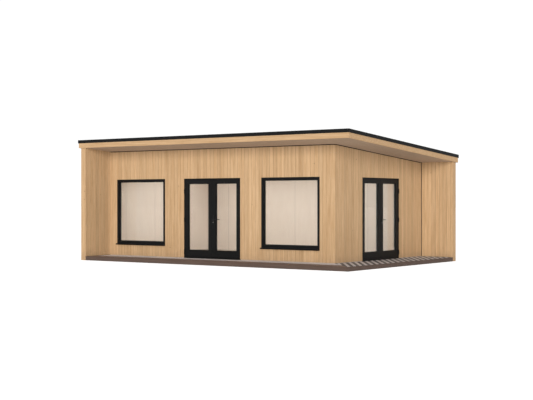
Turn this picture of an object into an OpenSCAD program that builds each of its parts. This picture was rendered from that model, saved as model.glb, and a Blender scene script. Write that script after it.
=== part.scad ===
// Garden office: one insulated timber room under a single-pitch roof, with a
// covered deck in front of it and along its right side. The left wall and the
// back wall run on as fins that close the ends of the deck.
// Millimetres. The origin is the centre of the footprint at ground level, the
// front faces -Y, and +Z is up.

/* [Plan] */
// Width of the room, outer face of the left wall to outer face of the side wall
room_w = 7500; // [7100:10:9500]
// Depth of the room, outer face of the front wall to outer face of the back wall
room_d = 4500; // [3600:10:6000]
// Depth of the covered deck in front of the room
porch_d = 940; // [600:10:1500]
// Width of the covered deck beside the room
porch_w = 940; // [600:10:1500]

/* [Base and deck] */
// Height of the base, which is also the top of the deck
base_h = 107; // [90:1:200]
// Thickness of the deck boards
deck_board_t = 24; // [18:1:32]
// Gap between neighbouring deck boards
deck_gap = 5; // [3:1:8]
// Thickness of the boards that close the edge of the deck
skirt_t = 22; // [15:1:30]
// Thickness of a joist under the deck
joist_t = 45; // [35:1:60]
// Spacing of the joists
joist_pitch = 500; // [300:10:650]
// Thickness of the floor inside the room
floor_t = 12; // [8:1:25]

/* [Walls] */
// Thickness of a wall with its cladding
wall_t = 165; // [130:1:220]
// Thickness of the cladding and of the corner boards
cladding_t = 22; // [16:1:28]
// Height of the cladding's lower edge over the deck
deck_clear = 11; // [5:1:30]
// Height of the cladding's lower edge over the ground at the back and left
ground_clear = 10; // [5:1:50]
// Width of the corner board on the front wall
corner_front_w = 145; // [70:1:160]
// Width of the corner board on the side wall
corner_side_w = 85; // [60:1:160]
// Width of the corner boards at the fins and at the back left corner
corner_w = 70; // [50:1:120]

/* [Roof] */
// Height of the roof's front edge
roof_edge_h = 3236; // [2900:1:3600]
// Fall of the roof towards the back, in millimetres for each metre
roof_fall = 74; // [20:1:90]
// Distance that the roof stands out past the footprint
roof_over = 60; // [50:1:90]
// Thickness of the roof panel
panel_t = 162; // [120:1:240]
// Thickness of the waterproof sheet on the panel
membrane_t = 6; // [3:1:10]
// Thickness of the fascia boards
fascia_t = 25; // [18:1:32]
// Thickness of the soffit
soffit_t = 18; // [12:1:25]
// Height of the black edge trim
trim_h = 85; // [60:1:120]
// Thickness of the edge trim's upright leg
trim_t = 15; // [8:1:20]
// Width of the edge trim's top leg
trim_top_w = 60; // [40:1:90]
// Thickness of the edge trim's top leg
trim_top_t = 25; // [10:1:30]

/* [Windows] */
// Width of a window frame
window_w = 1732; // [1200:1:1800]
// Height of a window frame
window_h = 1741; // [1000:1:1800]
// Distance from the door to each window
window_gap = 658; // [300:1:700]
// Width of the frame's face
window_face = 66; // [50:1:100]
// Depth of the frame
window_frame_d = 90; // [70:1:110]
// Thickness of the frame behind the glass
window_back_lip = 9; // [5:1:40]
// Thickness of a sealed glass unit
glass_t = 24; // [18:1:28]
// Depth of the groove that holds the glass
glass_bite = 12; // [8:1:16]
// Clearance round the edge of the glass in its groove
glass_clear = 2; // [1:0.5:4]
// Thickness of the window sill
sill_t = 34; // [20:1:45]
// Distance that the sill stands out from the cladding
sill_out = 60; // [30:1:90]

/* [Doors] */
// Width of a pair of doors with its frame
door_w = 1840; // [1500:1:1900]
// Height of a pair of doors with its frame
door_h = 2073; // [1950:1:2200]
// Distance from the front right corner of the room to the side doors
side_door_in = 1265; // [400:5:1300]
// Depth of the door frame
door_frame_d = 112; // [105:1:140]
// Width of the frame's outer lip
door_lip_w = 15; // [12:1:25]
// Width of the frame behind the leaves, which they close against
door_stop_w = 45; // [35:1:60]
// Height of the threshold
threshold_h = 30; // [20:1:40]
// Thickness of a leaf
leaf_t = 68; // [55:1:70]
// Distance of the leaves behind the cladding
leaf_in = 10; // [5:1:15]
// Clearance round a leaf
leaf_gap = 6; // [5:0.5:10]
// Clearance between a leaf and the part of the frame behind it
leaf_back_gap = 5; // [5:0.5:10]
// Clearance where the two leaves meet
meeting_gap = 10; // [10:0.5:14]
// Width of a leaf's stile at its hinges
hinge_stile = 108; // [80:1:125]
// Width of a leaf's stile where the leaves meet
meeting_stile = 112; // [90:1:135]
// Height of a leaf's top rail
top_rail = 108; // [80:1:130]
// Height of a leaf's bottom rail
bottom_rail = 169; // [110:1:200]
// Thickness of the leaf behind its glass
leaf_back_lip = 10; // [5:1:20]

/* [Hinges] */
// Radius of a hinge knuckle
knuckle_r = 9; // [7:0.5:10]
// Radius of a hinge pin
pin_r = 4; // [3:0.5:5]
// Clearance between pin and knuckle
pin_clear = 0.3; // [0.2:0.05:0.5]
// Height of a hinge
hinge_h = 100; // [70:1:130]
// Clearance between two knuckles
knuckle_gap = 0.5; // [0.3:0.1:1]
// Width of the plates that tie a knuckle to the frame and to the leaf
hinge_plate_w = 12; // [8:1:14]
// Distance of the hinge pin from the side of the door frame
hinge_side = 18; // [16:0.5:26]
// Distance of the hinge pin in front of the cladding
hinge_out = 10.5; // [10:0.5:14]
// Height of the lowest hinge's centre over the base
hinge_low = 163; // [120:1:300]
// Height of the middle hinge's centre over the base
hinge_mid = 1003; // [800:1:1200]
// Distance of the highest hinge's centre below the top of the frame
hinge_high_drop = 330; // [150:1:400]

/* [Handles] */
// Height of the handles over the base
handle_h = 1013; // [900:1:1100]
// Distance of the handle's spindle from the leaf's meeting edge
handle_in = 45; // [35:1:60]
// Length of the lever
lever_l = 105; // [90:1:150]
// Radius of the lever
lever_r = 9; // [7:0.5:12]
// Distance from the leaf to the lever's axis
lever_out = 48; // [35:1:60]
// Height of the plate behind the lever
handle_plate_h = 200; // [120:1:240]
// Width of the plate behind the lever
handle_plate_w = 34; // [28:1:44]
// Thickness of the plate behind the lever
handle_plate_t = 8; // [4:1:12]

/* [Hidden] */
$fn = 48;
// Extra length of a cut past the faces that it opens
cut = 10;
// Slit between boards that meet end to end
slit = 1;

// Outer faces of the footprint
left_x = -(room_w + porch_w) / 2;
right_x = (room_w + porch_w) / 2;
front_y = -(room_d + porch_d) / 2;
back_y = (room_d + porch_d) / 2;
// Outer faces of the room's front wall and side wall
room_x = left_x + room_w;
room_y = front_y + porch_d;
// Outer faces of the walls' cores, behind the cladding
core_x0 = left_x + cladding_t;
core_x1 = room_x - cladding_t;
core_y0 = room_y + cladding_t;
core_y1 = back_y - cladding_t;
// Inner faces of the walls
in_x0 = left_x + wall_t;
in_x1 = room_x - wall_t;
in_y0 = room_y + wall_t;
in_y1 = back_y - wall_t;

// Layers of the roof, as distances straight down from its top surface
membrane_drop = trim_top_t;
panel_drop = membrane_drop + membrane_t;
soffit_drop = panel_drop + panel_t;
eaves_drop = soffit_drop + soffit_t;
// How far the fascia's two faces stand out past the footprint
fascia_over = roof_over - trim_t;
panel_over = fascia_over - fascia_t;

// Limits of the sloped layers that the roof's pieces are cut from, past its edges
layer_x = right_x + 2 * roof_over;
layer_y = back_y + 2 * roof_over;
// Height above the roof up to which a wall's block is cut away
wall_cap = roof_edge_h;

// Windows and doors
head_z = base_h + door_h;
window_z = head_z - window_h;
front_door_x = left_x + (room_w - door_w) / 2;
window_left_x = front_door_x - window_gap - window_w;
window_right_x = front_door_x + door_w + window_gap;
side_door_y = room_y + side_door_in;
// Depth of the glass behind the outer face of its frame or its leaf
window_glass_in = window_frame_d - window_back_lip - glass_t;
leaf_glass_in = leaf_t - leaf_back_lip - glass_t;

// A door leaf in its frame: across the door, into the wall, and up from the base
door_stop_in = leaf_in + leaf_t + leaf_back_gap;
leaf_u0 = door_lip_w + leaf_gap;
leaf_u1 = (door_w - meeting_gap) / 2;
leaf_z0 = threshold_h + leaf_gap;
leaf_z1 = door_h - door_lip_w - leaf_gap;
knuckle_h = (hinge_h - 2 * knuckle_gap) / 3;
hinge_heights = [hinge_low, hinge_mid, door_h - hinge_high_drop];
// How far a hinge's plates reach past the pin's centre, so that they join the knuckle
plate_past = 1.5;
spindle_u = leaf_u1 - handle_in;

cedar = [0.80, 0.64, 0.46];
cedar_trim = [0.83, 0.67, 0.48];
timber = [0.72, 0.58, 0.40];
lining = [0.86, 0.79, 0.73];
floor_grey = [0.55, 0.52, 0.49];
deck_grey = [0.55, 0.49, 0.46];
deck_brown = [0.34, 0.27, 0.24];
black = [0.09, 0.09, 0.10];
glazing = [0.70, 0.78, 0.80, 0.5];
sheet_black = [0.16, 0.16, 0.17];
soffit_brown = [0.48, 0.42, 0.36];
steel = [0.62, 0.63, 0.65];

// Height of the roof's top surface at a depth y
function roof_z(y) = roof_edge_h - roof_fall / 1000 * (y - front_y + roof_over);

// A block between two opposite corners
module block(low, high) {
    translate(low) cube(high - low);
}

// All that lies between two planes parallel to the roof's top surface
module roof_layer(top, bottom) {
    translate([-layer_x, 0, 0]) rotate([90, 0, 90]) linear_extrude(2 * layer_x)
        polygon([[-layer_y, roof_z(-layer_y) - bottom], [layer_y, roof_z(layer_y) - bottom],
                 [layer_y, roof_z(layer_y) - top], [-layer_y, roof_z(-layer_y) - top]]);
}

// The stretch of such a layer that lies over a rectangle
module roof_slab(x0, x1, y0, y1, top, bottom) {
    intersection() {
        block([x0, y0, 0], [x1, y1, roof_edge_h + roof_over]);
        roof_layer(top, bottom);
    }
}

// What is below a plane parallel to the roof's top surface
module under_roof(drop) {
    difference() {
        children();
        roof_layer(-wall_cap, drop);
    }
}

// A wall, a fin or a skin of cladding as a block that the roof's slope cuts off
module wall(low, high, drop) {
    under_roof(drop) block(low, [high[0], high[1], roof_edge_h]);
}

// The hole for one window through a wall's core, with a seat for its sill
module window_hole(x) {
    block([x, room_y - cut, window_z], [x + window_w, in_y0 + cut, head_z]);
    block([x, room_y - cut, window_z - sill_t],
          [x + window_w, room_y + window_frame_d, window_z]);
}

// Places a part drawn across (x), into the wall (y) and up from the base (z)
module at_front_door() {
    translate([front_door_x, room_y, base_h]) children();
}
module at_side_door() {
    translate([room_x, side_door_y, base_h]) rotate([0, 0, 90]) children();
}
// Turns a left leaf's part into the right leaf's
module right_hand() {
    translate([door_w, 0, 0]) mirror([1, 0, 0]) children();
}

// ---- Base and deck ----

module base_cassette() {
    color(timber) block([core_x0, core_y0, 0], [core_x1, core_y1, base_h]);
}

module floor_boards() {
    color(floor_grey) translate([0, 0, base_h]) linear_extrude(floor_t) union() {
        translate([in_x0, in_y0]) square([in_x1 - in_x0, in_y1 - in_y0]);
        translate([front_door_x, room_y + door_frame_d])
            square([door_w, wall_t - door_frame_d + cut]);
        translate([in_x1 - cut, side_door_y])
            square([wall_t - door_frame_d + cut, door_w]);
    }
}

module decking() {
    color(deck_grey) {
        block([in_x0, front_y + skirt_t, base_h - deck_board_t],
              [right_x - skirt_t, core_y0 - deck_gap, base_h]);
        block([core_x1, core_y0, base_h - deck_board_t],
              [right_x - skirt_t, in_y1, base_h]);
    }
}

module deck_frame() {
    joist_h = base_h - deck_board_t;
    front_span = core_x1 - joist_t - in_x0;
    front_count = ceil(front_span / joist_pitch);
    side_span = right_x - skirt_t - joist_t - core_x1;
    side_count = ceil(side_span / joist_pitch);
    color(timber) {
        for (i = [0 : front_count - 1])
            translate([in_x0 + i * front_span / front_count, front_y + skirt_t, 0])
                cube([joist_t, porch_d - skirt_t + cladding_t, joist_h]);
        for (i = [0 : side_count])
            translate([core_x1 + i * side_span / side_count, front_y + skirt_t, 0])
                cube([joist_t, in_y1 - front_y - skirt_t, joist_h]);
    }
}

module deck_skirt() {
    color(deck_brown) {
        block([in_x0, front_y, 0], [right_x - skirt_t - slit, front_y + skirt_t, base_h]);
        block([right_x - skirt_t, front_y, 0], [right_x, in_y1, base_h]);
    }
}

// ---- Walls ----

module front_wall_left() {
    color(lining) difference() {
        wall([in_x0, core_y0, base_h], [front_door_x, in_y0], soffit_drop);
        window_hole(window_left_x);
    }
}

module front_wall_right() {
    color(lining) difference() {
        wall([front_door_x + door_w, core_y0, base_h], [core_x1, in_y0], soffit_drop);
        window_hole(window_right_x);
    }
}

module front_wall_header() {
    color(lining) wall([front_door_x, core_y0, head_z], [front_door_x + door_w, in_y0],
                       soffit_drop);
}

module side_wall_front() {
    color(lining) wall([in_x1, in_y0, base_h], [core_x1, side_door_y], soffit_drop);
}

module side_wall_rear() {
    color(lining) wall([in_x1, side_door_y + door_w, base_h], [core_x1, in_y1], soffit_drop);
}

module side_wall_header() {
    color(lining) wall([in_x1, side_door_y, head_z], [core_x1, side_door_y + door_w],
                       soffit_drop);
}

module back_wall() {
    color(lining) wall([in_x0, in_y1, base_h], [core_x1, core_y1], soffit_drop);
}

module left_wall() {
    color(lining) wall([core_x0, core_y0, base_h], [in_x0, core_y1], soffit_drop);
}

// The fins stand on the ground and reach up to the soffit
module left_fin() {
    color(timber) wall([core_x0, front_y + cladding_t, 0],
                       [in_x0 - cladding_t, core_y0], eaves_drop);
}

module right_fin() {
    color(timber) wall([core_x1, in_y1 + cladding_t, 0],
                       [right_x - cladding_t, core_y1], eaves_drop);
}

// ---- Cladding ----

module front_cladding() {
    color(cedar) difference() {
        wall([in_x0, room_y, base_h + deck_clear],
             [room_x - corner_front_w, core_y0], eaves_drop);
        window_hole(window_left_x);
        window_hole(window_right_x);
        block([front_door_x, room_y - cut, 0], [front_door_x + door_w, in_y0, head_z]);
    }
}

module side_cladding() {
    color(cedar) difference() {
        wall([core_x1, room_y + corner_side_w, base_h + deck_clear],
             [room_x, in_y1], eaves_drop);
        block([in_x1, side_door_y, 0], [room_x + cut, side_door_y + door_w, head_z]);
    }
}

module back_cladding() {
    color(cedar) wall([left_x + corner_w, core_y1, ground_clear],
                      [right_x - corner_w, back_y], eaves_drop);
}

module left_cladding() {
    color(cedar) wall([left_x, front_y + corner_w, ground_clear],
                      [core_x0, back_y - corner_w], eaves_drop);
}

// The faces of the two fins that look onto the deck
module fin_cladding() {
    color(cedar) {
        wall([in_x0 - cladding_t, front_y + corner_w, base_h + deck_clear],
             [in_x0, core_y0], eaves_drop);
        wall([core_x1, in_y1, base_h + deck_clear],
             [right_x - corner_w, in_y1 + cladding_t], eaves_drop);
    }
}

// Two boards round a corner at x, y, which run along by wx and wy
module corner_pair(x, y, wx, wy, z) {
    under_roof(eaves_drop) translate([x, y, z]) linear_extrude(roof_edge_h) union() {
        translate([min(0, wx), y > 0 ? -cladding_t : 0]) square([abs(wx), cladding_t]);
        translate([x > 0 ? -cladding_t : 0, min(0, wy)]) square([cladding_t, abs(wy)]);
    }
}

module corner_boards() {
    color(cedar_trim) {
        // Front right corner of the room, over the deck
        corner_pair(room_x, room_y, -corner_front_w, corner_side_w, base_h + deck_clear);
        // Back left corner
        corner_pair(left_x, back_y, corner_w, -corner_w, ground_clear);
        // Front end of the left fin
        under_roof(eaves_drop) linear_extrude(roof_edge_h) difference() {
            translate([left_x, front_y]) square([wall_t, corner_w]);
            translate([core_x0, front_y + cladding_t])
                square([wall_t - 2 * cladding_t, corner_w]);
        }
        // Right end of the right fin
        under_roof(eaves_drop) linear_extrude(roof_edge_h) difference() {
            translate([right_x - corner_w, in_y1]) square([corner_w, wall_t]);
            translate([right_x - cladding_t - corner_w, in_y1 + cladding_t])
                square([corner_w, wall_t - 2 * cladding_t]);
        }
    }
}

// ---- Roof ----

module roof_panel() {
    color(lining) roof_slab(left_x - panel_over, right_x + panel_over,
        front_y - panel_over, back_y + panel_over, panel_drop, soffit_drop);
}

module roof_membrane() {
    color(sheet_black) roof_slab(left_x - fascia_over, right_x + fascia_over,
        front_y - fascia_over, back_y + fascia_over, membrane_drop, panel_drop);
}

// The soffit covers the porch and the narrow eaves at the left and the back
module soffit() {
    color(soffit_brown) {
        roof_slab(left_x - panel_over, right_x + panel_over,
            front_y - panel_over, core_y0 - slit, soffit_drop, eaves_drop);
        roof_slab(core_x1, right_x + panel_over,
            core_y0, back_y + panel_over, soffit_drop, eaves_drop);
        roof_slab(left_x - panel_over, core_x1 - slit,
            core_y1, back_y + panel_over, soffit_drop, eaves_drop);
        roof_slab(left_x - panel_over, core_x0,
            core_y0, core_y1 - slit, soffit_drop, eaves_drop);
    }
}

module fascia_boards() {
    color(cedar_trim) {
        for (y = [front_y - fascia_over, back_y + panel_over])
            roof_slab(left_x - fascia_over, right_x + fascia_over,
                y, y + fascia_t, panel_drop, eaves_drop);
        for (x = [left_x - fascia_over, right_x + panel_over])
            roof_slab(x, x + fascia_t, front_y - panel_over + slit,
                back_y + panel_over - slit, panel_drop, eaves_drop);
    }
}

// The upright leg of the trim along one side, whose ends are notched to pass under
// the trims at the front and the back
module side_trim_leg(x) {
    end_y = back_y + fascia_over - slit;
    notch_y = back_y + roof_over - trim_top_w - slit;
    difference() {
        roof_slab(x, x + trim_t, -end_y, end_y, 0, trim_h);
        for (y = [-end_y - cut, notch_y])
            roof_slab(x - cut, x + trim_t + cut, y, y + end_y + cut - notch_y,
                      -cut, trim_top_t + slit);
    }
}

// The trims at the front and the back run right across, between those at the sides
module roof_trim() {
    far_x = right_x + roof_over;
    far_y = back_y + roof_over;
    end_y = far_y - trim_top_w - slit;
    color(black) {
        union() {
            roof_slab(-far_x, far_x, -far_y, trim_t - far_y, 0, trim_h);
            roof_slab(-far_x, far_x, trim_t - far_y, trim_top_w - far_y, 0, trim_top_t);
        }
        union() {
            roof_slab(-far_x, far_x, far_y - trim_t, far_y, 0, trim_h);
            roof_slab(-far_x, far_x, far_y - trim_top_w, far_y - trim_t, 0, trim_top_t);
        }
        union() {
            side_trim_leg(-far_x);
            roof_slab(trim_t - far_x, trim_top_w - far_x, -end_y, end_y, 0, trim_top_t);
        }
        union() {
            side_trim_leg(far_x - trim_t);
            roof_slab(far_x - trim_top_w, far_x - trim_t, -end_y, end_y, 0, trim_top_t);
        }
    }
}

// ---- Windows ----

module window_frame(x) {
    color(black) translate([x, room_y, window_z]) difference() {
        cube([window_w, window_frame_d, window_h]);
        translate([window_face, -cut, window_face])
            cube([window_w - 2 * window_face, window_frame_d + 2 * cut,
                  window_h - 2 * window_face]);
        translate([window_face - glass_bite, window_glass_in, window_face - glass_bite])
            cube([window_w - 2 * (window_face - glass_bite), glass_t,
                  window_h - 2 * (window_face - glass_bite)]);
    }
}

module window_glass(x) {
    edge = window_face - glass_bite + glass_clear;
    color(glazing) translate([x + edge, room_y + window_glass_in, window_z + edge])
        cube([window_w - 2 * edge, glass_t, window_h - 2 * edge]);
}

module window_left_frame() {
    window_frame(window_left_x);
}
module window_left_glass() {
    window_glass(window_left_x);
}
module window_right_frame() {
    window_frame(window_right_x);
}
module window_right_glass() {
    window_glass(window_right_x);
}

module window_sills() {
    color(black)
        for (x = [window_left_x, window_right_x])
            block([x, room_y - sill_out, window_z - sill_t],
                  [x + window_w, room_y + window_frame_d, window_z]);
}

// ---- Doors ----

module door_frame() {
    inner_w = door_w - 2 * door_lip_w;
    clear_w = door_w - 2 * door_stop_w;
    stop_z = threshold_h + door_stop_w - door_lip_w;
    color(black) difference() {
        cube([door_w, door_frame_d, door_h]);
        translate([door_lip_w, -cut, threshold_h])
            cube([inner_w, door_stop_in + cut, door_h - door_lip_w - threshold_h]);
        translate([door_stop_w, -cut, stop_z])
            cube([clear_w, door_frame_d + 2 * cut, door_h - door_stop_w - stop_z]);
    }
}

module front_door_frame() {
    at_front_door() door_frame();
}
module side_door_frame() {
    at_side_door() door_frame();
}

// The part of a hinge that is fixed to the frame, with its pin
module fixed_hinge(z) {
    translate([hinge_side, -hinge_out, z - hinge_h / 2]) union() {
        cylinder(r = pin_r, h = hinge_h);
        for (lift = [0, hinge_h - knuckle_h])
            translate([0, 0, lift]) {
                cylinder(r = knuckle_r, h = knuckle_h);
                translate([door_lip_w - hinge_plate_w - hinge_side, -plate_past, 0])
                    cube([hinge_side - door_lip_w + hinge_plate_w,
                          hinge_out + plate_past, knuckle_h]);
            }
    }
}

// The part of a hinge that is fixed to the leaf
module leaf_hinge(z) {
    translate([hinge_side, -hinge_out, z - knuckle_h / 2]) difference() {
        union() {
            cylinder(r = knuckle_r, h = knuckle_h);
            translate([leaf_u0 - hinge_side, -plate_past, 0])
                cube([hinge_plate_w, hinge_out + leaf_in + plate_past, knuckle_h]);
        }
        translate([0, 0, -cut]) cylinder(r = pin_r + pin_clear, h = knuckle_h + 2 * cut);
    }
}

module door_hinges() {
    color(black)
        for (z = hinge_heights) {
            fixed_hinge(z);
            right_hand() fixed_hinge(z);
        }
}

module front_door_hinges() {
    at_front_door() door_hinges();
}
module side_door_hinges() {
    at_side_door() door_hinges();
}

// The left leaf of a pair, without its glass
module leaf() {
    glass_u0 = leaf_u0 + hinge_stile;
    glass_u1 = leaf_u1 - meeting_stile;
    glass_z0 = leaf_z0 + bottom_rail;
    glass_z1 = leaf_z1 - top_rail;
    color(black) union() {
        difference() {
            block([leaf_u0, leaf_in, leaf_z0], [leaf_u1, leaf_in + leaf_t, leaf_z1]);
            block([glass_u0, leaf_in - cut, glass_z0],
                  [glass_u1, leaf_in + leaf_t + cut, glass_z1]);
            block([glass_u0 - glass_bite, leaf_in + leaf_glass_in, glass_z0 - glass_bite],
                  [glass_u1 + glass_bite, leaf_in + leaf_glass_in + glass_t,
                   glass_z1 + glass_bite]);
        }
        for (z = hinge_heights)
            leaf_hinge(z);
    }
}

module leaf_glass() {
    edge = glass_bite - glass_clear;
    color(glazing) block(
        [leaf_u0 + hinge_stile - edge, leaf_in + leaf_glass_in,
         leaf_z0 + bottom_rail - edge],
        [leaf_u1 - meeting_stile + edge, leaf_in + leaf_glass_in + glass_t,
         leaf_z1 - top_rail + edge]);
}

// One side of a lever handle, with its plate on the plane y = 0 and its lever at -y
module lever_set() {
    straight = handle_plate_h - handle_plate_w;
    color(steel) union() {
        translate([0, 0, -straight / 2]) rotate([90, 0, 0])
            linear_extrude(handle_plate_t) union() {
                translate([-handle_plate_w / 2, 0]) square([handle_plate_w, straight]);
                circle(d = handle_plate_w);
                translate([0, straight]) circle(d = handle_plate_w);
            }
        rotate([90, 0, 0]) cylinder(r = lever_r, h = lever_out);
        translate([0, -lever_out, 0]) sphere(r = lever_r);
        translate([0, -lever_out, 0]) rotate([0, -90, 0]) cylinder(r = lever_r, h = lever_l);
    }
}

// The handles of the active leaf, one outside and one inside
module handle_pair() {
    translate([spindle_u, leaf_in, handle_h]) lever_set();
    translate([spindle_u, leaf_in + leaf_t, handle_h]) mirror([0, 1, 0]) lever_set();
}

module front_door_left_leaf() {
    at_front_door() leaf();
}
module front_door_right_leaf() {
    at_front_door() right_hand() leaf();
}
module side_door_left_leaf() {
    at_side_door() leaf();
}
module side_door_right_leaf() {
    at_side_door() right_hand() leaf();
}
module front_door_left_glass() {
    at_front_door() leaf_glass();
}
module front_door_right_glass() {
    at_front_door() right_hand() leaf_glass();
}
module side_door_left_glass() {
    at_side_door() leaf_glass();
}
module side_door_right_glass() {
    at_side_door() right_hand() leaf_glass();
}
module front_door_handle() {
    at_front_door() right_hand() handle_pair();
}
module side_door_handle() {
    at_side_door() right_hand() handle_pair();
}

base_cassette();
floor_boards();
decking();
deck_frame();
deck_skirt();
front_wall_left();
front_wall_right();
front_wall_header();
side_wall_front();
side_wall_rear();
side_wall_header();
back_wall();
left_wall();
left_fin();
right_fin();
front_cladding();
side_cladding();
back_cladding();
left_cladding();
fin_cladding();
corner_boards();
roof_panel();
roof_membrane();
soffit();
fascia_boards();
roof_trim();
window_left_frame();
window_left_glass();
window_right_frame();
window_right_glass();
window_sills();
front_door_frame();
side_door_frame();
front_door_hinges();
side_door_hinges();
front_door_left_leaf();
front_door_right_leaf();
side_door_left_leaf();
side_door_right_leaf();
front_door_left_glass();
front_door_right_glass();
side_door_left_glass();
side_door_right_glass();
front_door_handle();
side_door_handle();
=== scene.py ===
"""Looks of a garden office: boards, glazing, metalwork, roofing and their finishes.

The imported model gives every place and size. Each class below builds one
sub-assembly round it, in metres, in the model's own frame: the front faces -Y,
+Z is up and the ground is at z = 0.
"""

import logging
import math
from contextlib import contextmanager
from dataclasses import dataclass, field
from enum import Enum
from typing import Callable, Iterator, Sequence

import bmesh
import bpy
from mathutils import Matrix, Vector


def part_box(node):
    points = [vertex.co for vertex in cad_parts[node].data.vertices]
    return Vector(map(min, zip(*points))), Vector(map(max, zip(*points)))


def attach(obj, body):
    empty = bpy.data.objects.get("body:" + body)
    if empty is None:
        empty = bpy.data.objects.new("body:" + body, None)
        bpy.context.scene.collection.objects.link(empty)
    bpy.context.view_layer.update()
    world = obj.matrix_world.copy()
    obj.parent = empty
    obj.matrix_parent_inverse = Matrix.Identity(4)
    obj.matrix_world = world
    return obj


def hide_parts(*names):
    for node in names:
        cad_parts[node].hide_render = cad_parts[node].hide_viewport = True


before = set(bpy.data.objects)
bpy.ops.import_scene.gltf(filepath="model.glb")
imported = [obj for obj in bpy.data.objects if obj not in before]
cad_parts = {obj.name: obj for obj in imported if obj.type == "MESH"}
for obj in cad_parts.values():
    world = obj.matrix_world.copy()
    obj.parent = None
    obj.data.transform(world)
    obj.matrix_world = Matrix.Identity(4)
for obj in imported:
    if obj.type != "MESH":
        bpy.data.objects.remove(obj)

Colour = tuple[float, float, float]
FaceTest = Callable[[Vector, Vector], bool]
EdgeTest = Callable[[Vector, Vector], bool]

LOG = logging.getLogger("garden_office")
UP = Vector((0.0, 0.0, 1.0))

# How squarely a face or an edge must point along an axis to count as facing it.
FACING: float = 0.9
# How near two faces or edges count as the same, in metres: loosely and strictly.
TOUCH: float = 0.001
HAIR: float = 0.0005
# Corners of a small round part.
ROUND: int = 24

# Timber: numbers that set each board's own shade and tint, and where joints darken.
ROW_SEEDS: dict[str, float] = {"shade": 0.37, "tint": 41.73}
JOINT_SPAN: tuple[float, float] = (0.002, 0.007)
ROW_PHASE: float = 3.17
FINE_WAVES: float = 170.0
MIDDLE_WAVES: float = 38.0
BROAD_WAVES: float = 7.0
FINE_SHARE: float = 0.45
MIDDLE_SHARE: float = 0.55
RING_TURNS: float = 46.0
KNOT_CELLS: float = 2.6
KNOT_SPAN: tuple[float, float] = (0.020, 0.055)
STREAK_SPAN: tuple[float, float] = (0.36, 0.64)
FINE_RELIEF: float = 0.6
FIGURE_RELIEF: float = 0.25
# Dirt, clouds and dust: waves for each metre, and where the specks start and end.
PATCH_WAVES: float = 9.0
CLOUD_WAVES: float = 6.0
SPECK_WAVES: float = 60.0
DUST_SPAN: tuple[float, float] = (0.52, 0.80)


class Axis(Enum):
    """An axis of the building."""

    X = 0
    Y = 1
    Z = 2

    @property
    def vector(self) -> Vector:
        """The unit vector along this axis."""
        return Vector([1.0 if i == self.value else 0.0 for i in range(3)])


class Side(Enum):
    """The way that a face of the building looks, as a turn from the front."""

    FRONT = 0.0
    RIGHT = 90.0
    BACK = 180.0
    LEFT = 270.0


@dataclass(frozen=True)
class Place:
    """A corner of the building and the side that it looks to.

    Pieces are drawn across (x), into the wall (y) and up (z), and then set here.
    """

    corner: Vector
    side: Side

    @property
    def matrix(self) -> Matrix:
        """The move from the drawn piece to the building."""
        turn = Matrix.Rotation(math.radians(self.side.value), 4, "Z")
        return Matrix.Translation(self.corner) @ turn

    @staticmethod
    def of_box(low: Vector, high: Vector, side: Side) -> "Place":
        """Find the place of a box's outer face.

        Args:
            low: Lowest corner of the box.
            high: Highest corner of the box.
            side: The side that the face looks to.

        Returns:
            The place at the left end of that face, seen from outside.
        """
        corners = {
            Side.FRONT: (low.x, low.y),
            Side.RIGHT: (high.x, low.y),
            Side.BACK: (high.x, high.y),
            Side.LEFT: (low.x, high.y),
        }
        x, y = corners[side]
        return Place(Vector((x, y, 0.0)), side)

    def local(self, low: Vector, high: Vector) -> tuple[Vector, Vector]:
        """Turn a box of the building into the drawn frame.

        Args:
            low: Lowest corner in the building.
            high: Highest corner in the building.

        Returns:
            Lowest and highest corner in the drawn frame.
        """
        back = self.matrix.inverted()
        ends = (back @ low, back @ high)
        return (
            Vector([min(a, b) for a, b in zip(*ends)]),
            Vector([max(a, b) for a, b in zip(*ends)]),
        )


@dataclass(frozen=True)
class RoofPlane:
    """The sloped plane on which the soffit's lower face lies."""

    y: float
    z: float
    slope: float

    @staticmethod
    def from_frame() -> "RoofPlane":
        """Read the plane from the tops of the front and the back cladding."""
        front_low, front_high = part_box("front_cladding")
        back_low, back_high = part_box("back_cladding")
        slope = (front_high.z - back_high.z) / (back_low.y - front_low.y)
        return RoofPlane(front_low.y, front_high.z, slope)

    @property
    def normal(self) -> Vector:
        """The upward normal of the plane."""
        return Vector((0.0, self.slope, 1.0)).normalized()

    def height(self, y: float) -> float:
        """Give the plane's height at a depth y."""
        return self.z - self.slope * (y - self.y)


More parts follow.
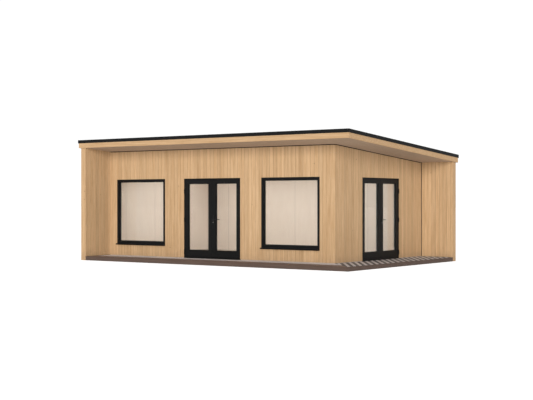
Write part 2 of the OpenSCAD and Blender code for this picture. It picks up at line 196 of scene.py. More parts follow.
class Workbench:
    """The steps of modelling by hand, as calls."""

    def pick(self, *pieces: bpy.types.Object) -> None:
        """Select only these objects, with the last one active.

        Args:
            pieces: The objects to select.
        """
        active = bpy.context.view_layer.objects.active
        if active is not None and active.mode != "OBJECT":
            bpy.ops.object.mode_set(mode="OBJECT")
        bpy.ops.object.select_all(action="DESELECT")
        for piece in pieces:
            piece.select_set(True)
        if pieces:
            bpy.context.view_layer.objects.active = pieces[-1]

    @contextmanager
    def editing(self, piece: bpy.types.Object) -> Iterator[None]:
        """Hold an object in edit mode, with nothing in it selected.

        Args:
            piece: The object to edit.

        Yields:
            Nothing.
        """
        self.pick(piece)
        bpy.ops.object.mode_set(mode="EDIT")
        bpy.ops.mesh.select_all(action="DESELECT")
        yield
        bpy.ops.object.mode_set(mode="OBJECT")

    def faces(self, test: FaceTest) -> None:
        """Select the faces of the edited mesh that pass a test.

        Args:
            test: Takes a face's centre and its normal.
        """
        bpy.ops.mesh.select_mode(type="FACE")
        bpy.ops.mesh.select_all(action="DESELECT")
        data = bpy.context.edit_object.data
        mesh = bmesh.from_edit_mesh(data)
        for face in mesh.faces:
            face.select_set(test(face.calc_center_median(), face.normal))
        bmesh.update_edit_mesh(data)

    def edges(self, test: EdgeTest, shortest: float = 0.0, sharp_only: bool = True) -> None:
        """Select the outward edges of the edited mesh that pass a test.

        Args:
            test: Takes an edge's middle and its unit direction.
            shortest: Least length of an edge that is selected.
            sharp_only: Whether an edge has to turn outwards by more than 30 degrees.
        """
        bpy.ops.mesh.select_mode(type="EDGE")
        bpy.ops.mesh.select_all(action="DESELECT")
        data = bpy.context.edit_object.data
        mesh = bmesh.from_edit_mesh(data)
        for edge in mesh.edges:
            run = edge.verts[1].co - edge.verts[0].co
            if run.length <= shortest or not edge.is_manifold:
                continue
            if sharp_only and edge.calc_face_angle_signed(0.0) < math.radians(30.0):
                continue
            middle = (edge.verts[0].co + edge.verts[1].co) / 2.0
            edge.select_set(test(middle, run.normalized()))
        bmesh.update_edit_mesh(data)

    def block(self, name: str, low: Sequence[float], high: Sequence[float]) -> bpy.types.Object:
        """Add a box between two corners, to be shaped further.

        Args:
            name: Name of the new object.
            low: Lowest corner.
            high: Highest corner.

        Returns:
            The new object, with its place in its mesh.
        """
        low, high = Vector(low), Vector(high)
        self.pick()
        bpy.ops.mesh.primitive_cube_add(size=1.0, location=(low + high) / 2.0, scale=high - low)
        piece = bpy.context.object
        piece.name = name
        return self.settle(piece)

    def settle(self, piece: bpy.types.Object) -> bpy.types.Object:
        """Move an object's place, turn and size into its mesh."""
        self.pick(piece)
        bpy.ops.object.transform_apply(location=True, rotation=True, scale=True)
        return piece

    def put(self, piece: bpy.types.Object, place: Place) -> bpy.types.Object:
        """Set a drawn piece at its place in the building."""
        piece.matrix_world = place.matrix @ piece.matrix_world
        return self.settle(piece)

    def chamfer(
        self, piece: bpy.types.Object, size: float, test: EdgeTest, shortest: float = 0.0
    ) -> bpy.types.Object:
        """Take the sharpness off the edges that pass a test.

        Args:
            piece: The object to shape.
            size: Width of the chamfer.
            test: Takes an edge's middle and its unit direction.
            shortest: Least length of an edge that is shaped.

        Returns:
            The same object.
        """
        with self.editing(piece):
            self.edges(test, shortest)
            bpy.ops.mesh.bevel(offset=size, segments=1, affect="EDGES")
        return piece

    def trim(
        self, piece: bpy.types.Object, point: Sequence[float], normal: Sequence[float]
    ) -> bpy.types.Object:
        """Saw off all that lies past a plane.

        Args:
            piece: The object to cut.
            point: A point on the plane.
            normal: The side of the plane that is cut away.

        Returns:
            The same object.
        """
        with self.editing(piece):
            bpy.ops.mesh.select_all(action="SELECT")
            bpy.ops.mesh.bisect(
                plane_co=point, plane_no=normal, use_fill=True, clear_outer=True
            )
        return piece

    def repeat(
        self, piece: bpy.types.Object, count: int, step: Sequence[float]
    ) -> bpy.types.Object:
        """Repeat a shape in a straight row, as one mesh.

        Args:
            piece: The object to repeat.
            count: How many there are.
            step: The way from one to the next.

        Returns:
            The same object.
        """
        self.pick(piece)
        row = piece.modifiers.new("row", "ARRAY")
        row.count = count
        row.use_relative_offset = False
        row.use_constant_offset = True
        row.constant_offset_displace = step
        bpy.ops.object.modifier_apply(modifier=row.name)
        return piece

    def carve(self, piece: bpy.types.Object, *cutters: bpy.types.Object) -> bpy.types.Object:
        """Cut shapes out of a piece and throw them away.

        Args:
            piece: The object to cut.
            cutters: The shapes that are cut out of it.

        Returns:
            The same object.
        """
        for cutter in cutters:
            self.pick(piece)
            cut = piece.modifiers.new("cut", "BOOLEAN")
            cut.operation = "DIFFERENCE"
            cut.solver = "EXACT"
            cut.object = cutter
            bpy.ops.object.modifier_apply(modifier=cut.name)
            bpy.data.objects.remove(cutter)
        return piece

    def join(self, name: str, pieces: Sequence[bpy.types.Object]) -> bpy.types.Object:
        """Join objects into one mesh.

        Args:
            name: Name of the joined object.
            pieces: The objects to join.

        Returns:
            The joined object.
        """
        self.pick(*pieces)
        if len(pieces) > 1:
            bpy.ops.object.join()
        piece = bpy.context.object
        piece.name = name
        return self.settle(piece)

    def scatter(
        self, name: str, pattern: bpy.types.Object, spots: Sequence[Vector]
    ) -> bpy.types.Object:
        """Copy one modelled shape to many spots, each copy with its own mesh.

        Args:
            name: Name of the joined copies.
            pattern: The shape to copy, which is used up.
            spots: Where the copies go.

        Returns:
            All copies as one object.
        """
        copies = []
        for spot in spots:
            copy = pattern.copy()
            copy.data = pattern.data.copy()
            copy.location = spot
            bpy.context.scene.collection.objects.link(copy)
            copies.append(copy)
        bpy.data.objects.remove(pattern)
        return self.join(name, copies)

    def ring(
        self, name: str, low: Sequence[float], high: Sequence[float], width: float
    ) -> bpy.types.Object:
        """Model a rectangular ring that is open along Y.

        Args:
            name: Name of the new object.
            low: Lowest corner of its outline.
            high: Highest corner of its outline.
            width: Width of its four sides.

        Returns:
            The new object.
        """
        piece = self.block(name, low, high)
        with self.editing(piece):
            self.faces(lambda centre, normal: abs(normal.y) > FACING)
            bpy.ops.mesh.inset(thickness=width, depth=0.0)
            bpy.ops.mesh.bridge_edge_loops()
            bpy.ops.mesh.select_all(action="SELECT")
            bpy.ops.mesh.normals_make_consistent(inside=False)
        return piece

    def refined(self, name: str, node: str) -> bpy.types.Object:
        """Copy a node of the frame as clean faces that can be worked on.

        Args:
            name: Name of the copy.
            node: The node to copy.

        Returns:
            The copy.
        """
        piece = bpy.data.objects.new(name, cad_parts[node].data.copy())
        bpy.context.scene.collection.objects.link(piece)
        with self.editing(piece):
            bpy.ops.mesh.select_all(action="SELECT")
            bpy.ops.mesh.remove_doubles(threshold=1e-5)
            bpy.ops.mesh.customdata_custom_splitnormals_clear()
            bpy.ops.mesh.dissolve_limited(angle_limit=math.radians(0.2))
        return piece

    def soften(self, piece: bpy.types.Object, degrees: float = 25.0) -> bpy.types.Object:
        """Shade the round parts of a piece smooth and leave its corners sharp."""
        self.pick(piece)
        bpy.ops.object.shade_smooth_by_angle(angle=math.radians(degrees))
        return piece

    def lean(self, piece: bpy.types.Object, slope: float) -> bpy.types.Object:
        """Drop a block's back end, so that it lies along the roof's slope.

        Args:
            piece: A block with its ends across Y.
            slope: Fall for each metre.

        Returns:
            The same object.
        """
        ys = [corner[1] for corner in piece.bound_box]
        with self.editing(piece):
            self.faces(lambda centre, normal: normal.y > FACING)
            bpy.ops.transform.translate(value=(0.0, 0.0, -slope * (max(ys) - min(ys))))
        return piece


BENCH = Workbench()


def every_edge(middle: Vector, run: Vector) -> bool:
    """Pass every edge."""
    return True


# ---- Shader graphs ----


class Graph:
    """A node tree that is wired by short calls."""

    def __init__(self, tree: bpy.types.NodeTree) -> None:
        """Wrap a tree.

        Args:
            tree: The tree of a material, a world or a group.
        """
        self.tree = tree

    def add(self, kind: str, **settings: object) -> bpy.types.Node:
        """Add a node.

        Args:
            kind: The node's type.
            settings: Its settings by name.

        Returns:
            The new node.
        """
        node = self.tree.nodes.new(kind)
        for key, value in settings.items():
            setattr(node, key, value)
        return node

    def feed(self, socket: bpy.types.NodeSocket, value: object) -> None:
        """Link a socket to another, or set it to a plain value."""
        if isinstance(value, bpy.types.NodeSocket):
            self.tree.links.new(value, socket)
        elif socket.type == "RGBA" and len(value) == 3:
            socket.default_value = (*value, 1.0)
        else:
            socket.default_value = value

    def math(self, operation: str, *values: object, clamp: bool = False) -> bpy.types.NodeSocket:
        """Do one sum.

        Args:
            operation: Name of the operation.
            values: Its numbers or sockets.
            clamp: Whether the result is kept between 0 and 1.

        Returns:
            The result.
        """
        node = self.add("ShaderNodeMath", operation=operation, use_clamp=clamp)
        for socket, value in zip(node.inputs, values):
            self.feed(socket, value)
        return node.outputs[0]

    def span(
        self, value: object, low: float, high: float, start: float = 0.0, end: float = 1.0
    ) -> bpy.types.NodeSocket:
        """Ease a value from one range to another.

        Args:
            value: The value.
            low: Where its range starts.
            high: Where its range ends.
            start: What the result is at low.
            end: What the result is at high.

        Returns:
            The eased value.
        """
        node = self.add("ShaderNodeMapRange", interpolation_type="SMOOTHSTEP")
        for socket, number in zip(node.inputs, (value, low, high, start, end)):
            self.feed(socket, number)
        return node.outputs[0]

    def blend(
        self, amount: object, first: object, second: object, mode: str = "MIX"
    ) -> bpy.types.NodeSocket:
        """Mix two colours.

        Args:
            amount: How much of the second there is.
            first: The first colour.
            second: The second colour.
            mode: How they mix.

        Returns:
            The mixed colour.
        """
        node = self.add("ShaderNodeMix", data_type="RGBA", blend_type=mode)
        self.feed(node.inputs[0], amount)
        self.feed(node.inputs[6], first)
        self.feed(node.inputs[7], second)
        return node.outputs[2]

    def stretch(self, vector: object, scale: Sequence[float]) -> bpy.types.NodeSocket:
        """Scale a vector by three numbers."""
        node = self.add("ShaderNodeMapping")
        self.feed(node.inputs["Vector"], vector)
        node.inputs["Scale"].default_value = scale
        return node.outputs[0]

    def noise(
        self, vector: object, scale: float, detail: float = 2.0, phase: object = 0.0
    ) -> bpy.types.NodeSocket:
        """Make soft noise.

        Args:
            vector: Where it is read.
            scale: How fine it is, in waves for each metre.
            detail: How many finer layers it has.
            phase: A number that changes the whole pattern.

        Returns:
            The noise, about 0.5 on average.
        """
        node = self.add("ShaderNodeTexNoise", noise_dimensions="4D")
        self.feed(node.inputs["Vector"], vector)
        self.feed(node.inputs["W"], phase)
        self.feed(node.inputs["Scale"], scale)
        self.feed(node.inputs["Detail"], detail)
        return node.outputs[0]

    def object_place(self) -> bpy.types.NodeSocket:
        """Give the place in the building of the shaded point."""
        return self.add("ShaderNodeTexCoord").outputs["Object"]

    def part(self, vector: object, axis: Axis) -> bpy.types.NodeSocket:
        """Take one coordinate out of a vector."""
        node = self.add("ShaderNodeSeparateXYZ")
        self.feed(node.inputs[0], vector)
        return node.outputs[axis.value]


class Effect:
    """A shader node group that several finishes share."""

    def __init__(self, name: str, takes: Sequence[str], gives: Sequence[str]) -> None:
        """Make an empty group.

        Args:
            name: Name of the group.
            takes: Its inputs; one that ends in "place" is a vector.
            gives: Its outputs, all plain values.
        """
        self.tree = bpy.data.node_groups.new(name, "ShaderNodeTree")
        for label in takes:
            kind = "NodeSocketVector" if label.endswith("place") else "NodeSocketFloat"
            self.tree.interface.new_socket(name=label, in_out="INPUT", socket_type=kind)
        for label in gives:
            self.tree.interface.new_socket(
                name=label, in_out="OUTPUT", socket_type="NodeSocketFloat"
            )
        self.graph = Graph(self.tree)
        self.inputs = self.graph.add("NodeGroupInput").outputs
        self.outputs = self.graph.add("NodeGroupOutput").inputs

    def use(self, graph: Graph, **values: object) -> dict[str, bpy.types.NodeSocket]:
        """Place the group in a material.

        Args:
            graph: The material's graph.
            values: What goes into the group, by input.

        Returns:
            The group's outputs by name.
        """
        node = graph.add("ShaderNodeGroup", node_tree=self.tree)
        for label, value in values.items():
            graph.feed(node.inputs[label], value)
        return {socket.name: socket for socket in node.outputs}


def board_rows() -> Effect:
    """Tell boards in a row apart: the board's number, a shade of its own and its joints."""
    effect = Effect("board_rows", ["across", "start", "pitch"], ["row", "shade", "tint", "joint"])
    graph, takes = effect.graph, effect.inputs
    along = graph.math("DIVIDE", graph.math("SUBTRACT", takes["across"], takes["start"]),
                       takes["pitch"])
    row = graph.math("FLOOR", along)
    rest = graph.math("SUBTRACT", along, row)
    near = graph.math("MULTIPLY", graph.math("MINIMUM", rest, graph.math("SUBTRACT", 1.0, rest)),
                      takes["pitch"])
    for label, offset in ROW_SEEDS.items():
        random = graph.add("ShaderNodeTexWhiteNoise", noise_dimensions="1D")
        graph.feed(random.inputs["W"], graph.math("ADD", row, offset))
        graph.feed(effect.outputs[label], random.outputs["Value"])
    graph.feed(effect.outputs["row"], row)
    graph.feed(effect.outputs["joint"], graph.span(near, *JOINT_SPAN, 1.0, 0.0))
    return effect


def timber_grain() -> Effect:
    """Draw sawn timber: fine streaks, growth rings, knots and the relief of all three."""
    effect = Effect("timber_grain", ["long_place", "flat_place", "row"],
                    ["streak", "figure", "knot", "relief"])
    graph, takes = effect.graph, effect.inputs
    phase = graph.math("MULTIPLY", takes["row"], ROW_PHASE)
    fine = graph.noise(takes["long_place"], FINE_WAVES, 2.0, phase)
    middle = graph.noise(takes["long_place"], MIDDLE_WAVES, 2.0, phase)
    broad = graph.noise(takes["long_place"], BROAD_WAVES, 1.0, phase)
    streak = graph.math("ADD", graph.math("MULTIPLY", fine, FINE_SHARE),
                        graph.math("MULTIPLY", middle, MIDDLE_SHARE))
    rings = graph.math("SINE", graph.math("MULTIPLY", broad, RING_TURNS))
    figure = graph.math("MULTIPLY_ADD", rings, 0.5, 0.5)
    cells = graph.add("ShaderNodeTexVoronoi", feature="F1")
    graph.feed(cells.inputs["Vector"], takes["flat_place"])
    graph.feed(cells.inputs["Scale"], KNOT_CELLS)
    knot = graph.span(cells.outputs["Distance"], *KNOT_SPAN, 1.0, 0.0)
    graph.feed(effect.outputs["streak"], graph.span(streak, *STREAK_SPAN))
    graph.feed(effect.outputs["figure"], figure)
    graph.feed(effect.outputs["knot"], knot)
    relief = graph.math("MULTIPLY_ADD", fine, FINE_RELIEF,
                        graph.math("MULTIPLY", figure, FIGURE_RELIEF))
    graph.feed(effect.outputs["relief"], graph.math("SUBTRACT", relief, knot))
    return effect


def ground_splash() -> Effect:
    """Mask the dirt that rain throws up on the lowest part of a surface."""
    effect = Effect("ground_splash", ["any_place", "height", "clean_from"], ["dirt"])
    graph, takes = effect.graph, effect.inputs
    patches = graph.noise(takes["any_place"], PATCH_WAVES, 4.0)
    level = graph.math("DIVIDE", takes["height"], takes["clean_from"])
    fade = graph.span(graph.math("ADD", level, graph.math("SUBTRACT", patches, 0.5)),
                      0.0, 1.0, 1.0, 0.0)
    graph.feed(effect.outputs["dirt"], fade)
    return effect


def coat_texture() -> Effect:
    """Draw the fine relief, the cloudy gloss and the dust of a coated surface."""
    effect = Effect("coat_texture", ["any_place", "grain"], ["relief", "cloud", "dust"])
    graph, takes = effect.graph, effect.inputs
    fine = graph.add("ShaderNodeTexNoise", noise_dimensions="3D")
    graph.feed(fine.inputs["Vector"], takes["any_place"])
    graph.feed(fine.inputs["Scale"], takes["grain"])
    graph.feed(effect.outputs["relief"], fine.outputs[0])
    graph.feed(effect.outputs["cloud"], graph.noise(takes["any_place"], CLOUD_WAVES, 3.0))
    speck = graph.noise(takes["any_place"], SPECK_WAVES, 4.0)
    graph.feed(effect.outputs["dust"], graph.span(speck, *DUST_SPAN))
    return effect


@dataclass(frozen=True)
class Effects:
    """The shared node groups."""

    rows: Effect = field(default_factory=board_rows)
    grain: Effect = field(default_factory=timber_grain)
    splash: Effect = field(default_factory=ground_splash)
    coat: Effect = field(default_factory=coat_texture)


def new_material(name: str) -> tuple[bpy.types.Material, Graph, bpy.types.Node]:
    """Start a material.

    Args:
        name: Name of the material.

    Returns:
        The material, its graph and its Principled shader.
    """
    material = bpy.data.materials.new(name)
    material.use_nodes = True
    shader = material.node_tree.nodes["Principled BSDF"]
    return material, Graph(material.node_tree), shader


def relief(graph: Graph, shader: bpy.types.Node, height: object, depth: float) -> None:
    """Give a shader a fine relief.

    Args:
        graph: The material's graph.
        shader: Its Principled shader.
        height: The relief, from 0 to 1.
        depth: The depth of the relief in metres.
    """
    bump = graph.add("ShaderNodeBump")
    bump.inputs["Distance"].default_value = depth
    graph.feed(bump.inputs["Height"], height)
    graph.feed(shader.inputs["Normal"], bump.outputs["Normal"])


# ---- Finishes ----


@dataclass(frozen=True)
class Timber:
    """Sawn or planed boards: one colour family, with grain along them and rows across."""

    name: str
    pale: Colour
    deep: Colour
    grain: Axis
    across: Axis
    start: float = 0.0
    pitch: float = 10.0
    spread: float = 0.13
    darker_rows: float = 0.0
    knots: float = 1.0
    joint_shade: float = 0.36
    clean_from: float = 0.35
    gloss: float = 0.55
    depth: float = 0.0008
    turn: float = 0.0
    bounce_grey: float = 0.75
    bounce_colour: Colour = (0.48, 0.42, 0.35)
    lengthways: float = 0.035
    figure_share: float = 0.22
    streak_share: float = 0.55
    tint_share: float = 0.30
    dark: float = 0.38
    knot_shade: float = 0.60
    dusty_scale: float = 0.55
    dusty_base: float = 0.05
    dirt: float = 0.35
    sheen: float = 0.18
    specular: float = 0.35

    def build(self, effects: Effects) -> bpy.types.Material:
        """Make the material.

        Args:
            effects: The shared node groups.

        Returns:
            The finished material.
        """
        material, graph, shader = new_material(self.name)
        place = graph.object_place()
        if self.turn:
            turned = graph.add("ShaderNodeVectorRotate", rotation_type="Z_AXIS")
            graph.feed(turned.inputs["Vector"], place)
            graph.feed(turned.inputs["Angle"], self.turn)
            place = turned.outputs["Vector"]
        rows = effects.rows.use(graph, across=graph.part(place, self.across),
                                start=self.start, pitch=self.pitch)
        long_scale = [self.lengthways if axis is self.grain else 1.0 for axis in Axis]
        flat_scale = [1.0 if axis in (self.grain, self.across) else 0.0 for axis in Axis]
        grain = effects.grain.use(graph, long_place=graph.stretch(place, long_scale),
                                  flat_place=graph.stretch(place, flat_scale),
                                  row=rows["row"])
        splash = effects.splash.use(graph, any_place=place, height=graph.part(place, Axis.Z),
                                    clean_from=self.clean_from)
        tone = graph.math("MULTIPLY_ADD", grain["figure"], self.figure_share,
                          graph.math("MULTIPLY", grain["streak"], self.streak_share))
        tone = graph.math("MULTIPLY_ADD", rows["tint"], self.tint_share, tone, clamp=True)
        colour = graph.blend(tone, self.pale, self.deep)
        shade = graph.math("MULTIPLY_ADD", rows["shade"], self.spread, 1.0 - self.spread / 2.0)
        if self.darker_rows:
            odd = graph.math("PINGPONG", rows["row"], 1.0)
            shade = graph.math("SUBTRACT", shade, graph.math("MULTIPLY", odd, self.darker_rows))
        grey = graph.add("ShaderNodeCombineColor")
        for socket in grey.inputs:
            graph.feed(socket, shade)
        colour = graph.blend(1.0, colour, grey.outputs[0], "MULTIPLY")
        dark = [part * self.dark for part in self.deep]
        colour = graph.blend(graph.math("MULTIPLY", grain["knot"],
                                        self.knot_shade * self.knots), colour, dark)
        colour = graph.blend(graph.math("MULTIPLY", rows["joint"], self.joint_shade),
                             colour, dark)
        dusty = [self.dusty_scale * part + self.dusty_base for part in self.deep]
        colour = graph.blend(graph.math("MULTIPLY", splash["dirt"], self.dirt), colour,
                             dusty)
        if self.bounce_grey:
            onto_others = graph.add("ShaderNodeLightPath").outputs["Is Diffuse Ray"]
            colour = graph.blend(graph.math("MULTIPLY", onto_others, self.bounce_grey), colour,
                                 self.bounce_colour)
        graph.feed(shader.inputs["Base Color"], colour)
        rough = graph.math("MULTIPLY_ADD", grain["streak"], self.sheen, self.gloss)
        graph.feed(shader.inputs["Roughness"], rough)
        shader.inputs["Specular IOR Level"].default_value = self.specular
        relief(graph, shader, grain["relief"], self.depth)
        return material


@dataclass(frozen=True)
class Coating:
    """A coated, moulded or plain metal surface with a fine relief and some dust."""

    name: str
    colour: Colour
    roughness: float
    grain: float = 700.0
    depth: float = 0.0002
    dust: float = 0.12
    dust_colour: Colour = (0.30, 0.28, 0.25)
    metallic: float = 0.0
    specular: float = 0.5
    cloud_scale: float = 1.25
    cloud_base: float = 0.004
    gloss_span: float = 0.20

    def build(self, effects: Effects) -> bpy.types.Material:
        """Make the material.

        Args:
            effects: The shared node groups.

        Returns:
            The finished material.
        """
        material, graph, shader = new_material(self.name)
        place = graph.object_place()
        coat = effects.coat.use(graph, any_place=place, grain=self.grain)
        cloudy = [min(1.0, part * self.cloud_scale + self.cloud_base) for part in self.colour]
        colour = graph.blend(coat["cloud"], self.colour, cloudy)
        dusting = graph.math("MULTIPLY", coat["dust"], self.dust)
        graph.feed(shader.inputs["Base Color"], graph.blend(dusting, colour, self.dust_colour))
        rough = graph.math("MULTIPLY_ADD", coat["cloud"], self.gloss_span,
                           self.roughness - self.gloss_span / 2.0)
        graph.feed(shader.inputs["Roughness"], graph.math("ADD", rough, dusting))
        shader.inputs["Metallic"].default_value = self.metallic
        shader.inputs["Specular IOR Level"].default_value = self.specular
        relief(graph, shader, coat["relief"], self.depth)
        return material


@dataclass(frozen=True)
class Glazing:
    """Clear glass that lets about a third of the lamps' light through."""

    name: str = "float_glass"
    tint: Colour = (0.965, 0.965, 0.95)
    lamp_tint: Colour = (0.30, 0.30, 0.29)
    refraction: float = 1.22
    cloudy_tint: Colour = (0.97, 0.99, 0.98)
    cloud_grain: float = 3.0
    smear: float = 0.03

    def build(self, effects: Effects) -> bpy.types.Material:
        """Make the material.

        Args:
            effects: The shared node groups.

        Returns:
            The finished material.
        """
        material, graph, shader = new_material(self.name)
        coat = effects.coat.use(graph, any_place=graph.object_place(), grain=self.cloud_grain)
        smear = graph.math("MULTIPLY", coat["dust"], self.smear)
        graph.feed(shader.inputs["Base Color"], graph.blend(coat["cloud"], self.tint,
                                                            self.cloudy_tint))
        graph.feed(shader.inputs["Roughness"], smear)
        shader.inputs["Transmission Weight"].default_value = 1.0
        shader.inputs["IOR"].default_value = self.refraction
        clear = graph.add("ShaderNodeBsdfTransparent")
        clear.inputs["Color"].default_value = (*self.lamp_tint, 1.0)
        either = graph.add("ShaderNodeMixShader")
        graph.feed(either.inputs[0], graph.add("ShaderNodeLightPath").outputs["Is Shadow Ray"])
        graph.feed(either.inputs[1], shader.outputs[0])
        graph.feed(either.inputs[2], clear.outputs[0])
        graph.feed(material.node_tree.nodes["Material Output"].inputs["Surface"],
                   either.outputs[0])
        return material


CEDAR_PALE: Colour = (0.78, 0.523, 0.296)
CEDAR_DEEP: Colour = (0.56, 0.340, 0.167)
DECK_PALE: Colour = (0.86, 0.78, 0.75)
DECK_DEEP: Colour = (0.76, 0.67, 0.63)
DECK_BROWN: Colour = (0.30, 0.20, 0.16)
DECK_DARK: Colour = (0.20, 0.13, 0.10)
DECK_EDGE_PALE: Colour = (0.15, 0.0952, 0.0704)
DECK_EDGE_DEEP: Colour = (0.093, 0.0578, 0.0429)
LINING_PALE: Colour = (0.80, 0.70, 0.62)
LINING_DEEP: Colour = (0.74, 0.64, 0.56)
FLOOR_PALE: Colour = (0.50, 0.43, 0.36)
FLOOR_DEEP: Colour = (0.34, 0.28, 0.22)
SOFFIT_PALE: Colour = (0.632, 0.452, 0.326)
SOFFIT_DEEP: Colour = (0.506, 0.357, 0.239)
CEILING_PALE: Colour = (0.84, 0.80, 0.76)
CEILING_DEEP: Colour = (0.78, 0.73, 0.68)
CARCASS_PALE: Colour = (0.58, 0.44, 0.28)
CARCASS_DEEP: Colour = (0.42, 0.29, 0.17)


class Palette:
    """All finishes, each built once and kept by name."""

    def __init__(self) -> None:
        """Build the shared groups and the finishes that need no place."""
        self.effects = Effects()
        self.frames = Coating("black_window_coat", colour=(0.005, 0.005, 0.005),
                              roughness=0.45, dust=0.03,
                              specular=0.14)
        self.metal = Coating("black_roof_metal", colour=(0.006, 0.006, 0.006),
                              roughness=0.55, grain=350.0,
                             dust=0.04, specular=0.14)
        self.rubber = Coating("black_rubber", colour=(0.010, 0.010, 0.010),
                              roughness=0.75, grain=1500.0)
        self.handle = Coating("dark_satin_metal", colour=(0.03, 0.03, 0.03),
                              roughness=0.42, metallic=1.0,
                              dust=0.05)
        self.spacer = Coating("grey_spacer", colour=(0.16, 0.16, 0.17),
                              roughness=0.45, metallic=1.0)
        self.screw = Coating("stainless_screw", colour=(0.50, 0.49, 0.47),
                              roughness=0.35, metallic=1.0)
        self.membrane = Coating("roof_membrane", colour=(0.040, 0.040, 0.042),
                              roughness=0.80, grain=220.0,
                                depth=0.0010, dust=0.35)
        self.glass = Glazing()
        self._made: dict[str, bpy.types.Material] = {}

    def get(self, finish: Timber | Coating | Glazing) -> bpy.types.Material:
        """Give a finish's material, and make it the first time.

        Args:
            finish: The finish.

        Returns:
            Its material.
        """
        if finish.name not in self._made:
            self._made[finish.name] = finish.build(self.effects)
        return self._made[finish.name]


def install(
    piece: bpy.types.Object,
    material: bpy.types.Material,
    body: str = "root",
    stands_for: Sequence[str] = (),
) -> bpy.types.Object:
    """Give a finished piece its material and its place in the frame.

    Args:
        piece: The finished piece.
        material: Its material.
        body: The body that it moves with.
        stands_for: The nodes that it is shown instead of.

    Returns:
        The same piece.
    """
    piece.data.materials.clear()
    piece.data.materials.append(material)
    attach(piece, body)
    if stands_for:
        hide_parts(*stands_for)
    LOG.info("%s: %d faces on %s", piece.name, len(piece.data.polygons), body)
    return piece


def dress(node: str, material: bpy.types.Material) -> None:
    """Give a node of the frame a better material."""
    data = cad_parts[node].data
    data.materials.clear()
    data.materials.append(material)
    LOG.info("%s: kept from the frame", node)


# ---- Walls outside ----


@dataclass
class BoardedFace:
    """A face of a wall, clad in upright tongue and groove boards."""

    name: str
    side: Side
    low: Vector
    high: Vector
    roof: RoofPlane
    nodes: tuple[str, ...]
    holes: tuple[tuple[Vector, Vector], ...] = ()
    nominal_width: float = 0.110
    setback: float = 0.0025
    joint: float = 0.003
    edge: float = 0.004
    tongue: float = 0.006
    play: float = 0.0003

    @property
    def across(self) -> Axis:
        """The axis along which the boards follow each other."""
        return Axis.X if self.side in (Side.FRONT, Side.BACK) else Axis.Y

    @property
    def span(self) -> float:
        """Length of the face."""
        return (self.high - self.low)[self.across.value]

    @property
    def count(self) -> int:
        """How many boards there are."""
        return round(self.span / self.nominal_width)

    @property
    def pitch(self) -> float:
        """Width that one board covers."""
        return self.span / self.count

    def board(self) -> bpy.types.Object:
        """Model the first board: chamfered edges, and a tongue at its right side.

        Returns:
            The board, in the drawn frame.
        """
        skin = min((self.high - self.low)[axis.value] for axis in (Axis.X, Axis.Y))
        right = self.pitch - self.joint / 2.0
        piece = BENCH.block(self.name, (self.joint / 2.0, self.setback, self.low.z),
                            (right, skin, self.high.z))
        BENCH.chamfer(piece, self.edge,
                      lambda middle, run: abs(run.z) > FACING and middle.y < self.setback + TOUCH)
        middle = (self.setback + skin) / 2.0
        with BENCH.editing(piece):
            for depth in (middle - self.tongue / 2.0, middle + self.tongue / 2.0):
                bpy.ops.mesh.select_all(action="SELECT")
                bpy.ops.mesh.bisect(plane_co=(0.0, depth, 0.0), plane_no=(0.0, 1.0, 0.0))
            BENCH.faces(lambda centre, normal: normal.x > FACING
                        and abs(centre.y - middle) < self.tongue / 2.0)
            bpy.ops.mesh.extrude_region_move(
                TRANSFORM_OT_translate={"value": (self.joint - self.play, 0.0, 0.0)}
            )
        return piece

    def build(self, palette: Palette) -> None:
        """Board the whole face, cut it to the roof and round its openings.

        Args:
            palette: The finishes.
        """
        piece = BENCH.repeat(self.board(), self.count, (self.pitch, 0.0, 0.0))
        BENCH.trim(piece, (self.span, 0.0, 0.0), (1.0, 0.0, 0.0))
        BENCH.put(piece, Place.of_box(self.low, self.high, self.side))
        BENCH.trim(piece, (0.0, self.roof.y, self.roof.z), self.roof.normal)
        for low, high in self.holes:
            BENCH.carve(piece, BENCH.block("opening", low, high))
        finish = Timber(f"{self.name}_cedar", CEDAR_PALE, CEDAR_DEEP, Axis.Z, self.across,
                        start=self.low[self.across.value], pitch=self.pitch)
        install(piece, palette.get(finish), stands_for=self.nodes)


